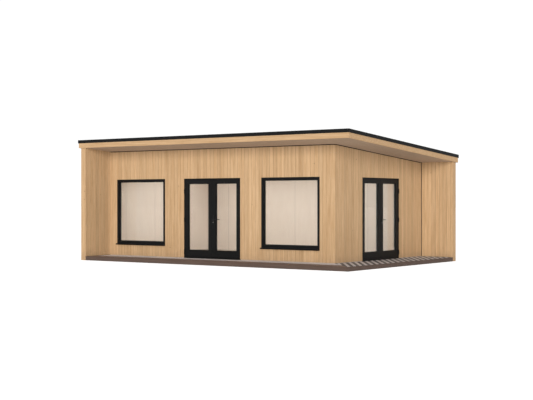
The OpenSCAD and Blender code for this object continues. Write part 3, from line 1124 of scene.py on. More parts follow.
@dataclass
class Cladding:
    """The boarding of all outer faces and of the fins that end the deck."""

    roof: RoofPlane
    clearance: float = 0.0005
    beyond: float = 0.05

    def opening(self, node: str, floor: float) -> tuple[Vector, Vector]:
        """Find the hole that the boards leave for a frame.

        Args:
            node: The frame in the hole.
            floor: How low the hole reaches.

        Returns:
            Lowest and highest corner of the hole.
        """
        low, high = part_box(node)
        reach = Vector((self.beyond, self.beyond, 0.0))
        wide = Axis.X if high.x - low.x > high.y - low.y else Axis.Y
        reach[wide.value] = self.clearance
        return (Vector((low.x, low.y, floor)) - reach,
                high + reach + UP * self.clearance)

    def build(self, palette: Palette) -> None:
        """Board every face.

        Args:
            palette: The finishes.
        """
        front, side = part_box("front_cladding"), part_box("side_cladding")
        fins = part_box("fin_cladding")
        skin = front[1].y - front[0].y
        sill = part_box("window_sills")[0].z
        holes = tuple(self.opening(node, sill)
                      for node in ("window_left_frame", "window_right_frame"))
        front_door = self.opening("front_door_frame", 0.0)
        side_door = self.opening("side_door_frame", 0.0)
        faces = [
            BoardedFace("front_boards", Side.FRONT, *front, self.roof, ("front_cladding",),
                        holes + (front_door,)),
            BoardedFace("side_boards", Side.RIGHT, *side, self.roof, ("side_cladding",),
                        (side_door,)),
            BoardedFace("back_boards", Side.BACK, *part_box("back_cladding"), self.roof,
                        ("back_cladding",)),
            BoardedFace("left_boards", Side.LEFT, *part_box("left_cladding"), self.roof,
                        ("left_cladding",)),
            BoardedFace("left_fin_boards", Side.RIGHT, fins[0],
                        Vector((fins[0].x + skin, front[1].y, fins[1].z)), self.roof,
                        ("fin_cladding",)),
            BoardedFace("right_fin_boards", Side.FRONT,
                        Vector((side[0].x, fins[1].y - skin, fins[0].z)), fins[1], self.roof,
                        ("fin_cladding",)),
        ]
        for face in faces:
            face.build(palette)


@dataclass
class Fixings:
    """Screw heads, modelled once and copied."""

    radius: float = 0.0042
    proud: float = 0.0008
    recess: float = 0.45
    sides: int = 10

    def head(self, side: Side | None) -> bpy.types.Object:
        """Model one countersunk head with a round recess.

        Args:
            side: The side that it looks to, or None for upwards.

        Returns:
            The head, with its rim on the surface at the origin.
        """
        BENCH.pick()
        bpy.ops.mesh.primitive_cylinder_add(
            vertices=self.sides, radius=self.radius, depth=2.0 * self.proud
        )
        piece = bpy.context.object
        with BENCH.editing(piece):
            BENCH.faces(lambda centre, normal: normal.z > FACING)
            bpy.ops.mesh.inset(thickness=self.radius * self.recess, depth=0.0)
            bpy.ops.mesh.extrude_region_move(
                TRANSFORM_OT_translate={"value": (0.0, 0.0, -self.proud)}
            )
        if side is not None:
            face_front = Matrix.Rotation(math.radians(90.0), 4, "X")
            turn = Matrix.Rotation(math.radians(side.value), 4, "Z")
            piece.matrix_world = turn @ face_front
            BENCH.settle(piece)
        return piece

    def drive(
        self, name: str, side: Side | None, spots: Sequence[Vector], palette: Palette
    ) -> None:
        """Put a head at each spot.

        Args:
            name: Name of the piece.
            side: The side that the heads look to, or None for upwards.
            spots: Where they are.
            palette: The finishes.
        """
        piece = BENCH.scatter(name, self.head(side), spots)
        install(piece, palette.get(palette.screw))


@dataclass
class TrimBoards:
    """The corner boards and the fascia, with eased edges and screws."""

    roof: RoofPlane
    edge: float = 0.003
    first_screw: float = 0.20
    screw_pitch: float = 0.60
    from_edge: float = 0.022

    def corner_spots(self) -> dict[Side, list[Vector]]:
        """List the screws of the corner boards by the side that they look to."""
        low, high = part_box("corner_boards")
        front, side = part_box("front_cladding"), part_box("side_cladding")
        back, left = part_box("back_cladding"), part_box("left_cladding")
        wide = left[0].y - low.y
        faces = {
            Side.FRONT: [
                (front[1].x + self.from_edge, front[0].y, front[0].z),
                (side[1].x - self.from_edge, front[0].y, front[0].z),
                (low.x + self.from_edge, low.y, 0.0),
                (front[0].x - self.from_edge, low.y, 0.0),
                (high.x - wide / 2.0, side[1].y, front[0].z),
            ],
            Side.RIGHT: [
                (side[1].x, side[0].y - self.from_edge, front[0].z),
                (front[0].x, low.y + wide / 2.0, front[0].z),
                (high.x, side[1].y + self.from_edge, 0.0),
                (high.x, high.y - self.from_edge, 0.0),
            ],
            Side.BACK: [
                (back[0].x - wide / 2.0, high.y, 0.0),
                (back[1].x + wide / 2.0, high.y, 0.0),
            ],
            Side.LEFT: [
                (low.x, left[0].y - wide / 2.0, 0.0),
                (low.x, left[1].y + wide / 2.0, 0.0),
            ],
        }
        spots: dict[Side, list[Vector]] = {}
        for side_name, columns in faces.items():
            for x, y, foot in columns:
                top = self.roof.height(y) - self.first_screw
                steps = max(1, round((top - foot - self.first_screw) / self.screw_pitch))
                gap = (top - foot - self.first_screw) / steps
                spots.setdefault(side_name, []).extend(
                    Vector((x, y, foot + self.first_screw + i * gap)) for i in range(steps + 1)
                )
        return spots

    def build(self, palette: Palette, fixings: Fixings) -> None:
        """Model the trim boards.

        Args:
            palette: The finishes.
            fixings: The screws.
        """
        corners = BENCH.refined("corner_trim_boards", "corner_boards")
        BENCH.chamfer(corners, self.edge, every_edge, shortest=0.03)
        upright = Timber("upright_trim_cedar", CEDAR_PALE, CEDAR_DEEP, Axis.Z, Axis.X,
                         spread=0.0, joint_shade=0.0)
        install(corners, palette.get(upright), stands_for=("corner_boards",))
        fascia = BENCH.refined("eaves_boards", "fascia_boards")
        BENCH.chamfer(fascia, self.edge, every_edge, shortest=0.03)
        level = Timber("level_trim_cedar", CEDAR_PALE, CEDAR_DEEP, Axis.X, Axis.Z,
                       spread=0.0, joint_shade=0.0, clean_from=0.1)
        install(fascia, palette.get(level), stands_for=("fascia_boards",))
        for side, spots in self.corner_spots().items():
            fixings.drive(f"corner_screws_{side.name.lower()}", side, spots, palette)


@dataclass
class CoverStrips:
    """The strips that close the walls' inner corners, a black bead of painted shade in the inner corner
    by the right fin, and black strips of painted shade along the joint under the soffit.
    """

    roof: RoofPlane
    corner_width: float = 0.050
    corner_depth: float = 0.012
    bead_width: float = 0.022
    bead_depth: float = 0.018
    eaves_height: float = 0.016
    eaves_depth: float = 0.012
    edge: float = 0.002

    def strip(self, name: str, low: Vector, high: Vector) -> bpy.types.Object:
        """Model an upright strip that ends at the soffit.

        Args:
            name: Name of the strip.
            low: Lowest corner.
            high: Highest corner of its outline, above the soffit.

        Returns:
            The strip.
        """
        piece = BENCH.block(name, low, high)
        BENCH.trim(piece, (0.0, self.roof.y, self.roof.z), self.roof.normal)
        return BENCH.chamfer(piece, self.edge, lambda middle, run: abs(run.z) > FACING)

    def build(self, palette: Palette) -> None:
        """Model the strips.

        Args:
            palette: The finishes.
        """
        front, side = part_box("front_cladding"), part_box("side_cladding")
        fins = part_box("fin_cladding")
        skin = front[1].y - front[0].y
        fin_y, wall_x, foot, head = fins[1].y - skin, side[1].x, side[0].z, front[1].z
        corners = BENCH.join("inner_corner_strips", [
            self.strip("front_strip",
                       Vector((front[0].x, front[0].y - self.corner_depth, foot)),
                       Vector((front[0].x + self.corner_width, front[0].y, head))),
            self.strip("side_strip",
                       Vector((wall_x, fin_y - self.bead_width - self.corner_width, foot)),
                       Vector((wall_x + self.corner_depth, fin_y - self.bead_width, head))),
        ])
        upright = Timber("strip_cedar", CEDAR_PALE, CEDAR_DEEP, Axis.Z, Axis.X, spread=0.0,
                         joint_shade=0.0)
        install(corners, palette.get(upright))
        # A black bead in the inner corner by the right fin: painted shade where that corner falls into
        # shadow.
        bead = self.strip("inner_corner_shade_bead", Vector((wall_x, fin_y - self.bead_width, foot)),
                          Vector((wall_x + self.bead_depth, fin_y, head)))
        install(bead, palette.get(palette.metal))
        # Black strips along the wall tops under the soffit: painted shade at the joint.
        top = self.roof.height(front[0].y)
        level = BENCH.block("front_eaves", (front[0].x, front[0].y - self.eaves_depth,
                                            top - self.eaves_height),
                            (side[1].x + self.eaves_depth, front[0].y, top))
        sloped = BENCH.block("side_eaves", (side[1].x, front[0].y, top - self.eaves_height),
                             (side[1].x + self.eaves_depth, fins[1].y - skin, top))
        BENCH.lean(sloped, self.roof.slope)
        eaves = BENCH.join("eaves_shadow_strips", [level, sloped])
        BENCH.chamfer(eaves, self.edge, every_edge, shortest=0.1)
        install(eaves, palette.get(palette.metal))


# ---- Deck ----


@dataclass
class Deck:
    """The deck: boards along the front and beside the room, their screws and the skirt."""

    nominal_width: float = 0.152
    gap: float = 0.005
    edge: float = 0.003
    longest: float = 3.9
    joint: float = 0.004
    screw_in: float = 0.022
    joist_pitch: float = 0.50
    slat: float = 0.076
    lay: float = math.radians(36.0)
    border: float = 0.46
    sheet: float = 0.001
    shortest: float = 0.3
    screw_side: float = 0.06

    def board(self, low: Vector, high: Vector) -> bpy.types.Object:
        """Model one board with its upper edges eased.

        Args:
            low: Lowest corner.
            high: Highest corner.

        Returns:
            The board.
        """
        piece = BENCH.block("deck_board", low, high)
        return BENCH.chamfer(piece, self.edge,
                             lambda middle, run: middle.z > high.z - TOUCH)

    def rows(self, low: Vector, high: Vector) -> tuple[int, float]:
        """Divide a stretch of deck into whole rows of boards.

        Args:
            low: Lowest corner of the stretch.
            high: Highest corner of the stretch.

        Returns:
            How many rows there are and how wide one is.
        """
        count = round((high.y - low.y) / self.nominal_width)
        return count, (high.y - low.y) / count

    def ends(self, low: float, high: float, row: int) -> list[float]:
        """Choose where the boards of a long row end, staggered from row to row.

        Args:
            low: Where the row starts.
            high: Where the row ends.
            row: The row's number.

        Returns:
            All ends, from the first to the last.
        """
        pieces = math.ceil((high - low) / self.longest)
        length = (high - low) / pieces
        shift = 0.0 if row % 2 == 0 else length / 2.0
        inner = [low + i * length - shift for i in range(1, pieces + 1)]
        return [low] + [end for end in inner if low + self.shortest < end < high - self.shortest] + [high]

    def mitred(self, piece: bpy.types.Object, way: float) -> bpy.types.Object:
        """Saw a stretch off where the two decks meet, from wall corner to outer corner."""
        normal = Vector((way, way, 0.0)).normalized()
        return BENCH.trim(piece, self.meeting - normal * self.gap / 2.0, normal)

    @property
    def meeting(self) -> Vector:
        """The corner of the walls, where the mitre between the two decks starts."""
        return Vector((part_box("side_wall_front")[1].x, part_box("front_wall_left")[0].y, 0.0))

    def held(self, spots: Sequence[Vector], way: float) -> list[Vector]:
        """Keep the screws of one side of the mitre, clear of its edge."""
        normal = Vector((way, way, 0.0)).normalized()
        return [spot for spot in spots if normal.dot(spot - self.meeting) < -self.screw_in]

    def stretch(
        self, name: str, low: Vector, high: Vector, colours: tuple[Colour, Colour],
        palette: Palette,
    ) -> list[Vector]:
        """Lay one stretch of boards.

        Args:
            name: Name of the piece.
            low: Lowest corner of the stretch.
            high: Highest corner of the stretch.
            colours: Pale and deep colour of the boards.
            palette: The finishes.

        Returns:
            Where its screws go.
        """
        count, pitch = self.rows(low, high)
        boards, spots = [], []
        for row in range(count):
            y0 = low.y + row * pitch + self.gap / 2.0
            y1 = low.y + (row + 1) * pitch - self.gap / 2.0
            ends = self.ends(low.x, high.x, row)
            for start, end in zip(ends, ends[1:]):
                boards.append(self.board(Vector((start, y0, low.z)),
                                         Vector((end - self.joint, y1, high.z))))
                lines = max(1, round((end - start) / self.joist_pitch))
                for i in range(lines + 1):
                    x = start + self.screw_in + i * (end - start - 2 * self.screw_in) / lines
                    spots += [Vector((x, y, high.z)) for y in (y0 + self.screw_in,
                                                               y1 - self.screw_in)]
        piece = self.mitred(BENCH.join(name, boards), 1.0)
        finish = Timber(f"{name}_timber", *colours, Axis.X, Axis.Y, start=low.y, pitch=pitch,
                        spread=0.12, clean_from=0.01, knots=0.5, gloss=0.62)
        install(piece, palette.get(finish), stands_for=("decking",))
        return self.held(spots, 1.0)

    def diagonal(self, name: str, low: Vector, high: Vector, palette: Palette) -> list[Vector]:
        """Lay one stretch of narrow boards on the diagonal, light and dark in turn.

        Args:
            name: Name of the piece.
            low: Lowest corner of the stretch.
            high: Highest corner of the stretch.
            palette: The finishes.

        Returns:
            Where its screws go.
        """
        turn = Matrix.Rotation(self.lay, 4, "Z")
        across = turn @ Axis.X.vector
        first = across.dot(low)
        count = math.ceil((across.dot(high) - first) / self.slat)
        reach = (high - low).length
        middle = (turn.inverted() @ ((low + high) / 2.0)).y
        piece = self.board(Vector((first + self.gap / 2.0, middle - reach, low.z)),
                           Vector((first + self.slat - self.gap / 2.0, middle + reach, high.z)))
        BENCH.repeat(piece, count, (self.slat, 0.0, 0.0))
        piece.matrix_world = turn @ piece.matrix_world
        BENCH.settle(piece)
        for corner, way in ((low, -1.0), (high, 1.0)):
            for axis in (Axis.X, Axis.Y):
                BENCH.trim(piece, corner, axis.vector * way)
        self.mitred(piece, -1.0).name = name
        finish = Timber(f"{name}_timber", DECK_PALE, DECK_DEEP, Axis.Y, Axis.X, start=first,
                        pitch=self.slat, spread=0.10, darker_rows=0.78, clean_from=0.01,
                        knots=0.3, gloss=0.62, turn=-self.lay)
        install(piece, palette.get(finish), stands_for=("decking",))
        spots = []
        for x in (low.x + self.screw_side, (low.x + high.x) / 2.0, high.x - self.screw_side):
            for row in range(count):
                y = (first + (row + 0.5) * self.slat - across.x * x) / across.y
                if low.y + self.screw_in < y < high.y - self.screw_in:
                    spots.append(Vector((x, y, high.z)))
        return self.held(spots, -1.0)

    def underlay(self, low: Vector, high: Vector, palette: Palette) -> None:
        """Lay a black sheet on the joists: painted shade that shows through the gaps between boards,
        where the ground under the deck would lie in shadow.

        Args:
            low: Lowest corner of the decking.
            high: Highest corner of the decking.
            palette: The finishes.
        """
        meeting = self.meeting
        top = low.z + self.sheet
        sheets = [
            BENCH.block("front_sheet", low, (high.x, meeting.y - self.sheet, top)),
            BENCH.block("side_sheet", (meeting.x, meeting.y - self.sheet, low.z),
                        (high.x, high.y, top)),
        ]
        install(BENCH.join("deck_gap_shade_sheet", sheets), palette.get(palette.rubber))

    def build(self, palette: Palette, fixings: Fixings) -> None:
        """Lay the deck and close its edge.

        Args:
            palette: The finishes.
            fixings: The screws.
        """
        low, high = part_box("decking")
        # A black sheet under the boards: painted shade seen through their gaps.
        self.underlay(low, high, palette)
        low += UP * 1.5 * self.sheet
        split = low.y + self.border
        spots = self.stretch("front_border_boards", low, Vector((high.x, split, high.z)),
                             (DECK_BROWN, DECK_DARK), palette)
        spots += self.stretch("front_deck_boards", Vector((low.x, split, low.z)),
                              Vector((high.x, self.meeting.y - self.gap, high.z)),
                              (DECK_PALE, DECK_DEEP), palette)
        spots += self.diagonal("side_deck_boards", Vector((self.meeting.x, low.y, low.z)), high,
                               palette)
        fixings.drive("deck_screws", None, spots, palette)
        skirt = BENCH.refined("deck_edge_boards", "deck_skirt")
        BENCH.chamfer(skirt, self.edge, every_edge, shortest=0.02)
        brown = Timber("deck_edge_brown", DECK_EDGE_PALE, DECK_EDGE_DEEP, Axis.X,
                       Axis.Z, spread=0.0, joint_shade=0.0, knots=0.4, clean_from=0.08)
        install(skirt, palette.get(brown), stands_for=("deck_skirt",))


# ---- Room inside ----


@dataclass
class Lining:
    """The room's linings: sheets that meet in narrow open joints, and a plank floor."""

    sheet: float = 1.22
    joint: float = 0.003
    plank: float = 0.19
    plank_length: float = 2.2
    plank_joint: float = 0.0015
    first_x: float = 0.787
    first_y: float = 0.49
    past_wall: float = 0.02
    past_floor: float = 0.01

    def wall(
        self, node: str, axis: Axis, face: float, inwards: float, start: float
    ) -> bpy.types.Object:
        """Cut the joints between sheets into one wall.

        Args:
            node: The wall.
            axis: The axis that runs along the wall.
            face: Where its inner face is, on the other level axis.
            inwards: The way that this face looks, 1 or -1.
            start: Where the first sheet starts.

        Returns:
            The wall as a new piece.
        """
        piece = BENCH.refined(f"{node}_lining", node)
        low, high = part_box(node)
        ends = sorted((face - inwards * self.joint, face + inwards * self.past_wall))
        step = start
        while step < high[axis.value] - self.joint:
            if step > low[axis.value] + self.joint:
                near = [ends[0]] * 2 + [low.z - self.past_wall]
                far = [ends[1]] * 2 + [high.z + self.past_wall]
                near[axis.value] = step - self.joint / 2.0
                far[axis.value] = step + self.joint / 2.0
                BENCH.carve(piece, BENCH.block("joint", near, far))
            step += self.sheet
        return piece

    def build(self, palette: Palette) -> None:
        """Line the walls and lay the floor.

        Args:
            palette: The finishes.
        """
        low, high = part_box("floor_boards")
        inner = (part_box("left_wall")[1].x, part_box("front_wall_left")[1].y,
                 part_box("side_wall_front")[0].x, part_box("back_wall")[0].y)
        first = (inner[0] + self.first_x, inner[1] + self.first_y)
        walls = [
            ("front_wall_left", Axis.X, inner[1], 1.0, first[0]),
            ("front_wall_right", Axis.X, inner[1], 1.0, first[0]),
            ("front_wall_header", Axis.X, inner[1], 1.0, first[0]),
            ("back_wall", Axis.X, inner[3], -1.0, first[0]),
            ("left_wall", Axis.Y, inner[0], 1.0, first[1]),
            ("side_wall_front", Axis.Y, inner[2], -1.0, first[1]),
            ("side_wall_rear", Axis.Y, inner[2], -1.0, first[1]),
            ("side_wall_header", Axis.Y, inner[2], -1.0, first[1]),
        ]
        for node, axis, face, inwards, start in walls:
            piece = self.wall(node, axis, face, inwards, start)
            finish = Timber(f"lining_{axis.name.lower()}", LINING_PALE,
                            LINING_DEEP, Axis.Z, axis, start=start, pitch=self.sheet,
                            spread=0.04, knots=0.0, joint_shade=0.6, clean_from=0.01,
                            gloss=0.45, depth=0.0001, bounce_grey=0.0)
            install(piece, palette.get(finish), stands_for=(node,))
        self.floor(low, high, palette)

    def floor(self, low: Vector, high: Vector, palette: Palette) -> None:
        """Cut the floor into planks.

        Args:
            low: Lowest corner of the floor.
            high: Highest corner of the floor.
            palette: The finishes.
        """
        piece = BENCH.refined("floor_planks", "floor_boards")
        half = self.plank_joint / 2.0
        count = math.floor((high.y - low.y) / self.plank)
        over = self.past_floor
        long_cut = BENCH.block("long_joint", (low.x - over, low.y + self.plank - half,
                                              high.z - self.plank_joint),
                               (high.x + over, low.y + self.plank + half, high.z + over))
        BENCH.repeat(long_cut, count, (0.0, self.plank, 0.0))
        BENCH.carve(piece, long_cut)
        for odd in (0, 1):
            first = low.x + self.plank_length * (0.5 if odd else 1.0)
            across = BENCH.block("end_joint", (first - half, low.y + odd * self.plank + half,
                                               high.z - self.plank_joint),
                                 (first + half, low.y + (odd + 1) * self.plank - half,
                                  high.z + over))
            BENCH.repeat(across, count // 2, (0.0, 2.0 * self.plank, 0.0))
            BENCH.repeat(across, math.floor((high.x - first) / self.plank_length) + 1,
                         (self.plank_length, 0.0, 0.0))
            BENCH.carve(piece, across)
        finish = Timber("floor_oak", FLOOR_PALE, FLOOR_DEEP, Axis.X, Axis.Y,
                        start=low.y, pitch=self.plank, spread=0.2, knots=0.6,
                        clean_from=0.01, gloss=0.35, depth=0.0003, bounce_grey=0.0)
        install(piece, palette.get(finish), stands_for=("floor_boards",))


# ---- Roof ----


@dataclass
class Roof:
    """The roof: the soffit and ceiling sheets, the membrane and the black edge trim."""

    plane: RoofPlane
    sheet: float = 1.22
    joint: float = 0.004
    lap_pitch: float = 1.05
    lap_width: float = 0.08
    lap_height: float = 0.003
    lap_ease: float = 0.8
    trim_width: float = 0.065
    slot_margin: float = 0.05
    slot_drop: float = 0.05
    slot_depth: float = 0.003
    edge: float = 0.002

    def sloped_slots(self, low: Vector, high: Vector, depth: float) -> bpy.types.Object:
        """Make the cutters for level joints that run down the slope.

        Args:
            low: Lowest corner of the piece that is cut.
            high: Highest corner of the piece that is cut.
            depth: How far above the soffit's lower face the cutters reach.

        Returns:
            The cutters as one object.
        """
        front, back = low.y - self.slot_margin, high.y + self.slot_margin
        top = self.plane.height(front) + depth
        slot = BENCH.block("slot", (low.x + self.sheet - self.joint / 2.0, front,
                                    top - depth - self.slot_drop),
                           (low.x + self.sheet + self.joint / 2.0, back, top))
        BENCH.lean(slot, self.plane.slope)
        return BENCH.repeat(slot, math.floor((high.x - low.x) / self.sheet),
                            (self.sheet, 0.0, 0.0))

    def soffit(self, palette: Palette) -> None:
        """Cut the soffit into sheets."""
        piece = BENCH.refined("soffit_sheets", "soffit")
        low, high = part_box("soffit")
        BENCH.carve(piece, self.sloped_slots(low, high, self.slot_depth))
        finish = Timber("soffit_timber", SOFFIT_PALE, SOFFIT_DEEP, Axis.Y, Axis.X,
                        start=low.x, pitch=self.sheet, spread=0.06, knots=0.0,
                        joint_shade=0.5, clean_from=0.01, gloss=0.6, depth=0.0003)
        install(piece, palette.get(finish), stands_for=("soffit",))

    def panel(self, palette: Palette) -> None:
        """Cut the ceiling's joints into the roof panel."""
        piece = BENCH.refined("ceiling_sheets", "roof_panel")
        low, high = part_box("roof_panel")
        soffit_low, soffit_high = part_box("soffit")
        thick = soffit_high.z - self.plane.height(soffit_low.y)
        BENCH.carve(piece, self.sloped_slots(low, high, thick + self.slot_depth))
        finish = Timber("ceiling_white", CEILING_PALE, CEILING_DEEP, Axis.Y, Axis.X,
                        start=low.x, pitch=self.sheet, spread=0.03, knots=0.0,
                        joint_shade=0.3, clean_from=0.01, gloss=0.5, depth=0.0001,
                        bounce_grey=0.0)
        install(piece, palette.get(finish), stands_for=("roof_panel",))

    def membrane(self, palette: Palette) -> None:
        """Model the membrane with the laps between its sheets."""
        piece = BENCH.refined("membrane_sheet", "roof_membrane")
        low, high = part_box("roof_membrane")
        y0, y1 = low.y + self.trim_width, high.y - self.trim_width
        top = high.z - self.plane.slope * self.trim_width
        lap = BENCH.block("lap", (low.x + self.lap_pitch, y0, top - self.lap_height),
                          (low.x + self.lap_pitch + self.lap_width, y1, top + self.lap_height))
        BENCH.lean(lap, self.plane.slope)
        BENCH.chamfer(lap, self.lap_height * self.lap_ease,
                      lambda middle, run: abs(run.y) > FACING and middle.z
                      > top - self.plane.slope * (y1 - y0) / 2.0)
        BENCH.repeat(lap, math.floor((high.x - low.x) / self.lap_pitch), (self.lap_pitch, 0, 0))
        joined = BENCH.join("membrane_sheets", [lap, piece])
        install(joined, palette.get(palette.membrane),
                stands_for=("roof_membrane",))

    def trim(self, palette: Palette) -> None:
        """Model the edge trim with its edges eased."""
        piece = BENCH.refined("edge_trim", "roof_trim")
        BENCH.chamfer(piece, self.edge, every_edge, shortest=0.02)
        BENCH.soften(piece)
        install(piece, palette.get(palette.metal), stands_for=("roof_trim",))

    def build(self, palette: Palette) -> None:
        """Build the whole roof.

        Args:
            palette: The finishes.
        """
        self.soffit(palette)
        self.panel(palette)
        self.membrane(palette)
        self.trim(palette)


# ---- Windows and doors ----


@dataclass
class SealedUnit:
    """A double glazed unit in its rebate, with spacer, gaskets and glazing beads."""

    name: str
    node: str
    place: Place
    body: str
    frame_depths: tuple[float, float]
    bite: float = 0.010
    pane: float = 0.004
    spacer_width: float = 0.016
    bead_width: float = 0.012
    bead_depth: float = 0.016
    gasket_width: float = 0.0155
    gasket: float = 0.0025
    slack: float = 0.001
    pane_edge: float = 0.0006
    bead_ease: float = 0.005

    def build(self, palette: Palette) -> None:
        """Model the unit and what holds it.

        Args:
            palette: The finishes.
        """
        low, high = self.place.local(*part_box(self.node))
        inset = Vector((self.bite, 0.0, self.bite))
        sight_low, sight_high = low + inset, high - inset
        panes = []
        for near, far in ((low.y, low.y + self.pane), (high.y - self.pane, high.y)):
            sheet = BENCH.block("pane", (low.x, near, low.z), (high.x, far, high.z))
            panes.append(BENCH.chamfer(sheet, self.pane_edge, every_edge))
        glass = BENCH.put(BENCH.join(f"{self.name}_panes", panes), self.place)
        install(glass, palette.get(palette.glass), self.body, (self.node,))
        within = Vector((self.slack, self.pane, self.slack))
        spacer = BENCH.ring(f"{self.name}_spacer", low + within, high - within,
                            self.spacer_width)
        install(BENCH.put(spacer, self.place), palette.get(palette.spacer),
                self.body)
        gaskets, beads = [], []
        for face, outwards in ((low.y, -1.0), (high.y, 1.0)):
            rebate = abs(self.frame_depths[0 if outwards < 0 else 1] - face)
            room = rebate - self.gasket - self.slack
            near, far = sorted((face, face + outwards * self.gasket))
            gaskets.append(BENCH.ring("gasket", (sight_low.x, near, sight_low.z),
                                      (sight_high.x, far, sight_high.z), self.gasket_width))
            start = face + outwards * self.gasket
            near, far = sorted((start, start + outwards * min(self.bead_depth, room)))
            outer = near if outwards < 0 else far
            bead = BENCH.ring("bead", (sight_low.x, near, sight_low.z),
                              (sight_high.x, far, sight_high.z), self.bead_width)
            middle = (sight_low + sight_high) / 2.0
            half = (sight_high - sight_low) / 2.0
            BENCH.chamfer(bead, self.bead_ease, lambda at, run, outer=outer, middle=middle, half=half: (
                abs(at.y - outer) < HAIR
                and abs(at.x - middle.x) < half.x - self.bead_width / 2.0
                and abs(at.z - middle.z) < half.z - self.bead_width / 2.0))
            beads.append(bead)
        install(BENCH.put(BENCH.join(f"{self.name}_gaskets", gaskets), self.place),
                palette.get(palette.rubber), self.body)
        install(BENCH.put(BENCH.join(f"{self.name}_beads", beads), self.place),
                palette.get(palette.frames), self.body)


@dataclass
class Window:
    """A fixed window: its frame with mitred corners, its glass and its sill."""

    hand: str
    edge: float = 0.002
    mitre: float = 0.0008
    mitre_depth: float = 0.0012
    sill_fall: float = 0.006
    drip: float = 0.005
    drip_back: float = 0.012
    drip_side: float = 0.02
    sill_edge: float = 0.003
    mitre_reach: float = 0.14
    mitre_start: float = -0.02
    overshoot: float = 0.01

    def frame(self, palette: Palette) -> None:
        """Model the frame.

        Args:
            palette: The finishes.
        """
        node = f"window_{self.hand}_frame"
        piece = BENCH.refined(f"{node}_profile", node)
        BENCH.chamfer(piece, self.edge, every_edge, shortest=0.06)
        low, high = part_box(node)
        for x, across in ((low.x, 1.0), (high.x, -1.0)):
            for z, lift in ((low.z, 1.0), (high.z, -1.0)):
                slit = BENCH.block("mitre", (self.mitre_start, low.y - self.overshoot,
                                             -self.mitre / 2.0),
                                   (self.mitre_reach, low.y + self.mitre_depth,
                                    self.mitre / 2.0))
                turn = -math.atan2(lift, across)
                slit.matrix_world = (Matrix.Translation((x, 0.0, z))
                                     @ Matrix.Rotation(turn, 4, "Y"))
                BENCH.carve(piece, BENCH.settle(slit))
        install(piece, palette.get(palette.frames), stands_for=(node,))

    def build(self, palette: Palette) -> None:
        """Model the window.

        Args:
            palette: The finishes.
        """
        low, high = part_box(f"window_{self.hand}_frame")
        place = Place.of_box(low, high, Side.FRONT)
        self.frame(palette)
        SealedUnit(f"window_{self.hand}", f"window_{self.hand}_glass", place, "root",
                   (0.0, high.y - low.y)).build(palette)
        sill_low, sill_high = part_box("window_sills")
        sill = BENCH.block(f"window_{self.hand}_sill", (low.x, sill_low.y, sill_low.z),
                           (high.x, sill_high.y, sill_high.z))
        with BENCH.editing(sill):
            bpy.ops.mesh.select_all(action="SELECT")
            bpy.ops.mesh.bisect(plane_co=(0.0, low.y, 0.0), plane_no=(0.0, 1.0, 0.0))
            BENCH.edges(lambda middle, run: middle.y < sill_low.y + TOUCH
                        and middle.z > sill_high.z - TOUCH)
            bpy.ops.transform.translate(value=(0.0, 0.0, -self.sill_fall))
        BENCH.chamfer(sill, self.sill_edge,
                      lambda middle, run: middle.y < sill_low.y + TOUCH, shortest=0.01)
        groove_y = sill_low.y + self.drip_back
        groove = BENCH.block("drip", (low.x + self.drip_side, groove_y,
                                      sill_low.z - self.overshoot),
                             (high.x - self.drip_side, groove_y + self.drip,
                              sill_low.z + self.drip))
        BENCH.carve(sill, groove)
        install(sill, palette.get(palette.frames), stands_for=("window_sills",))


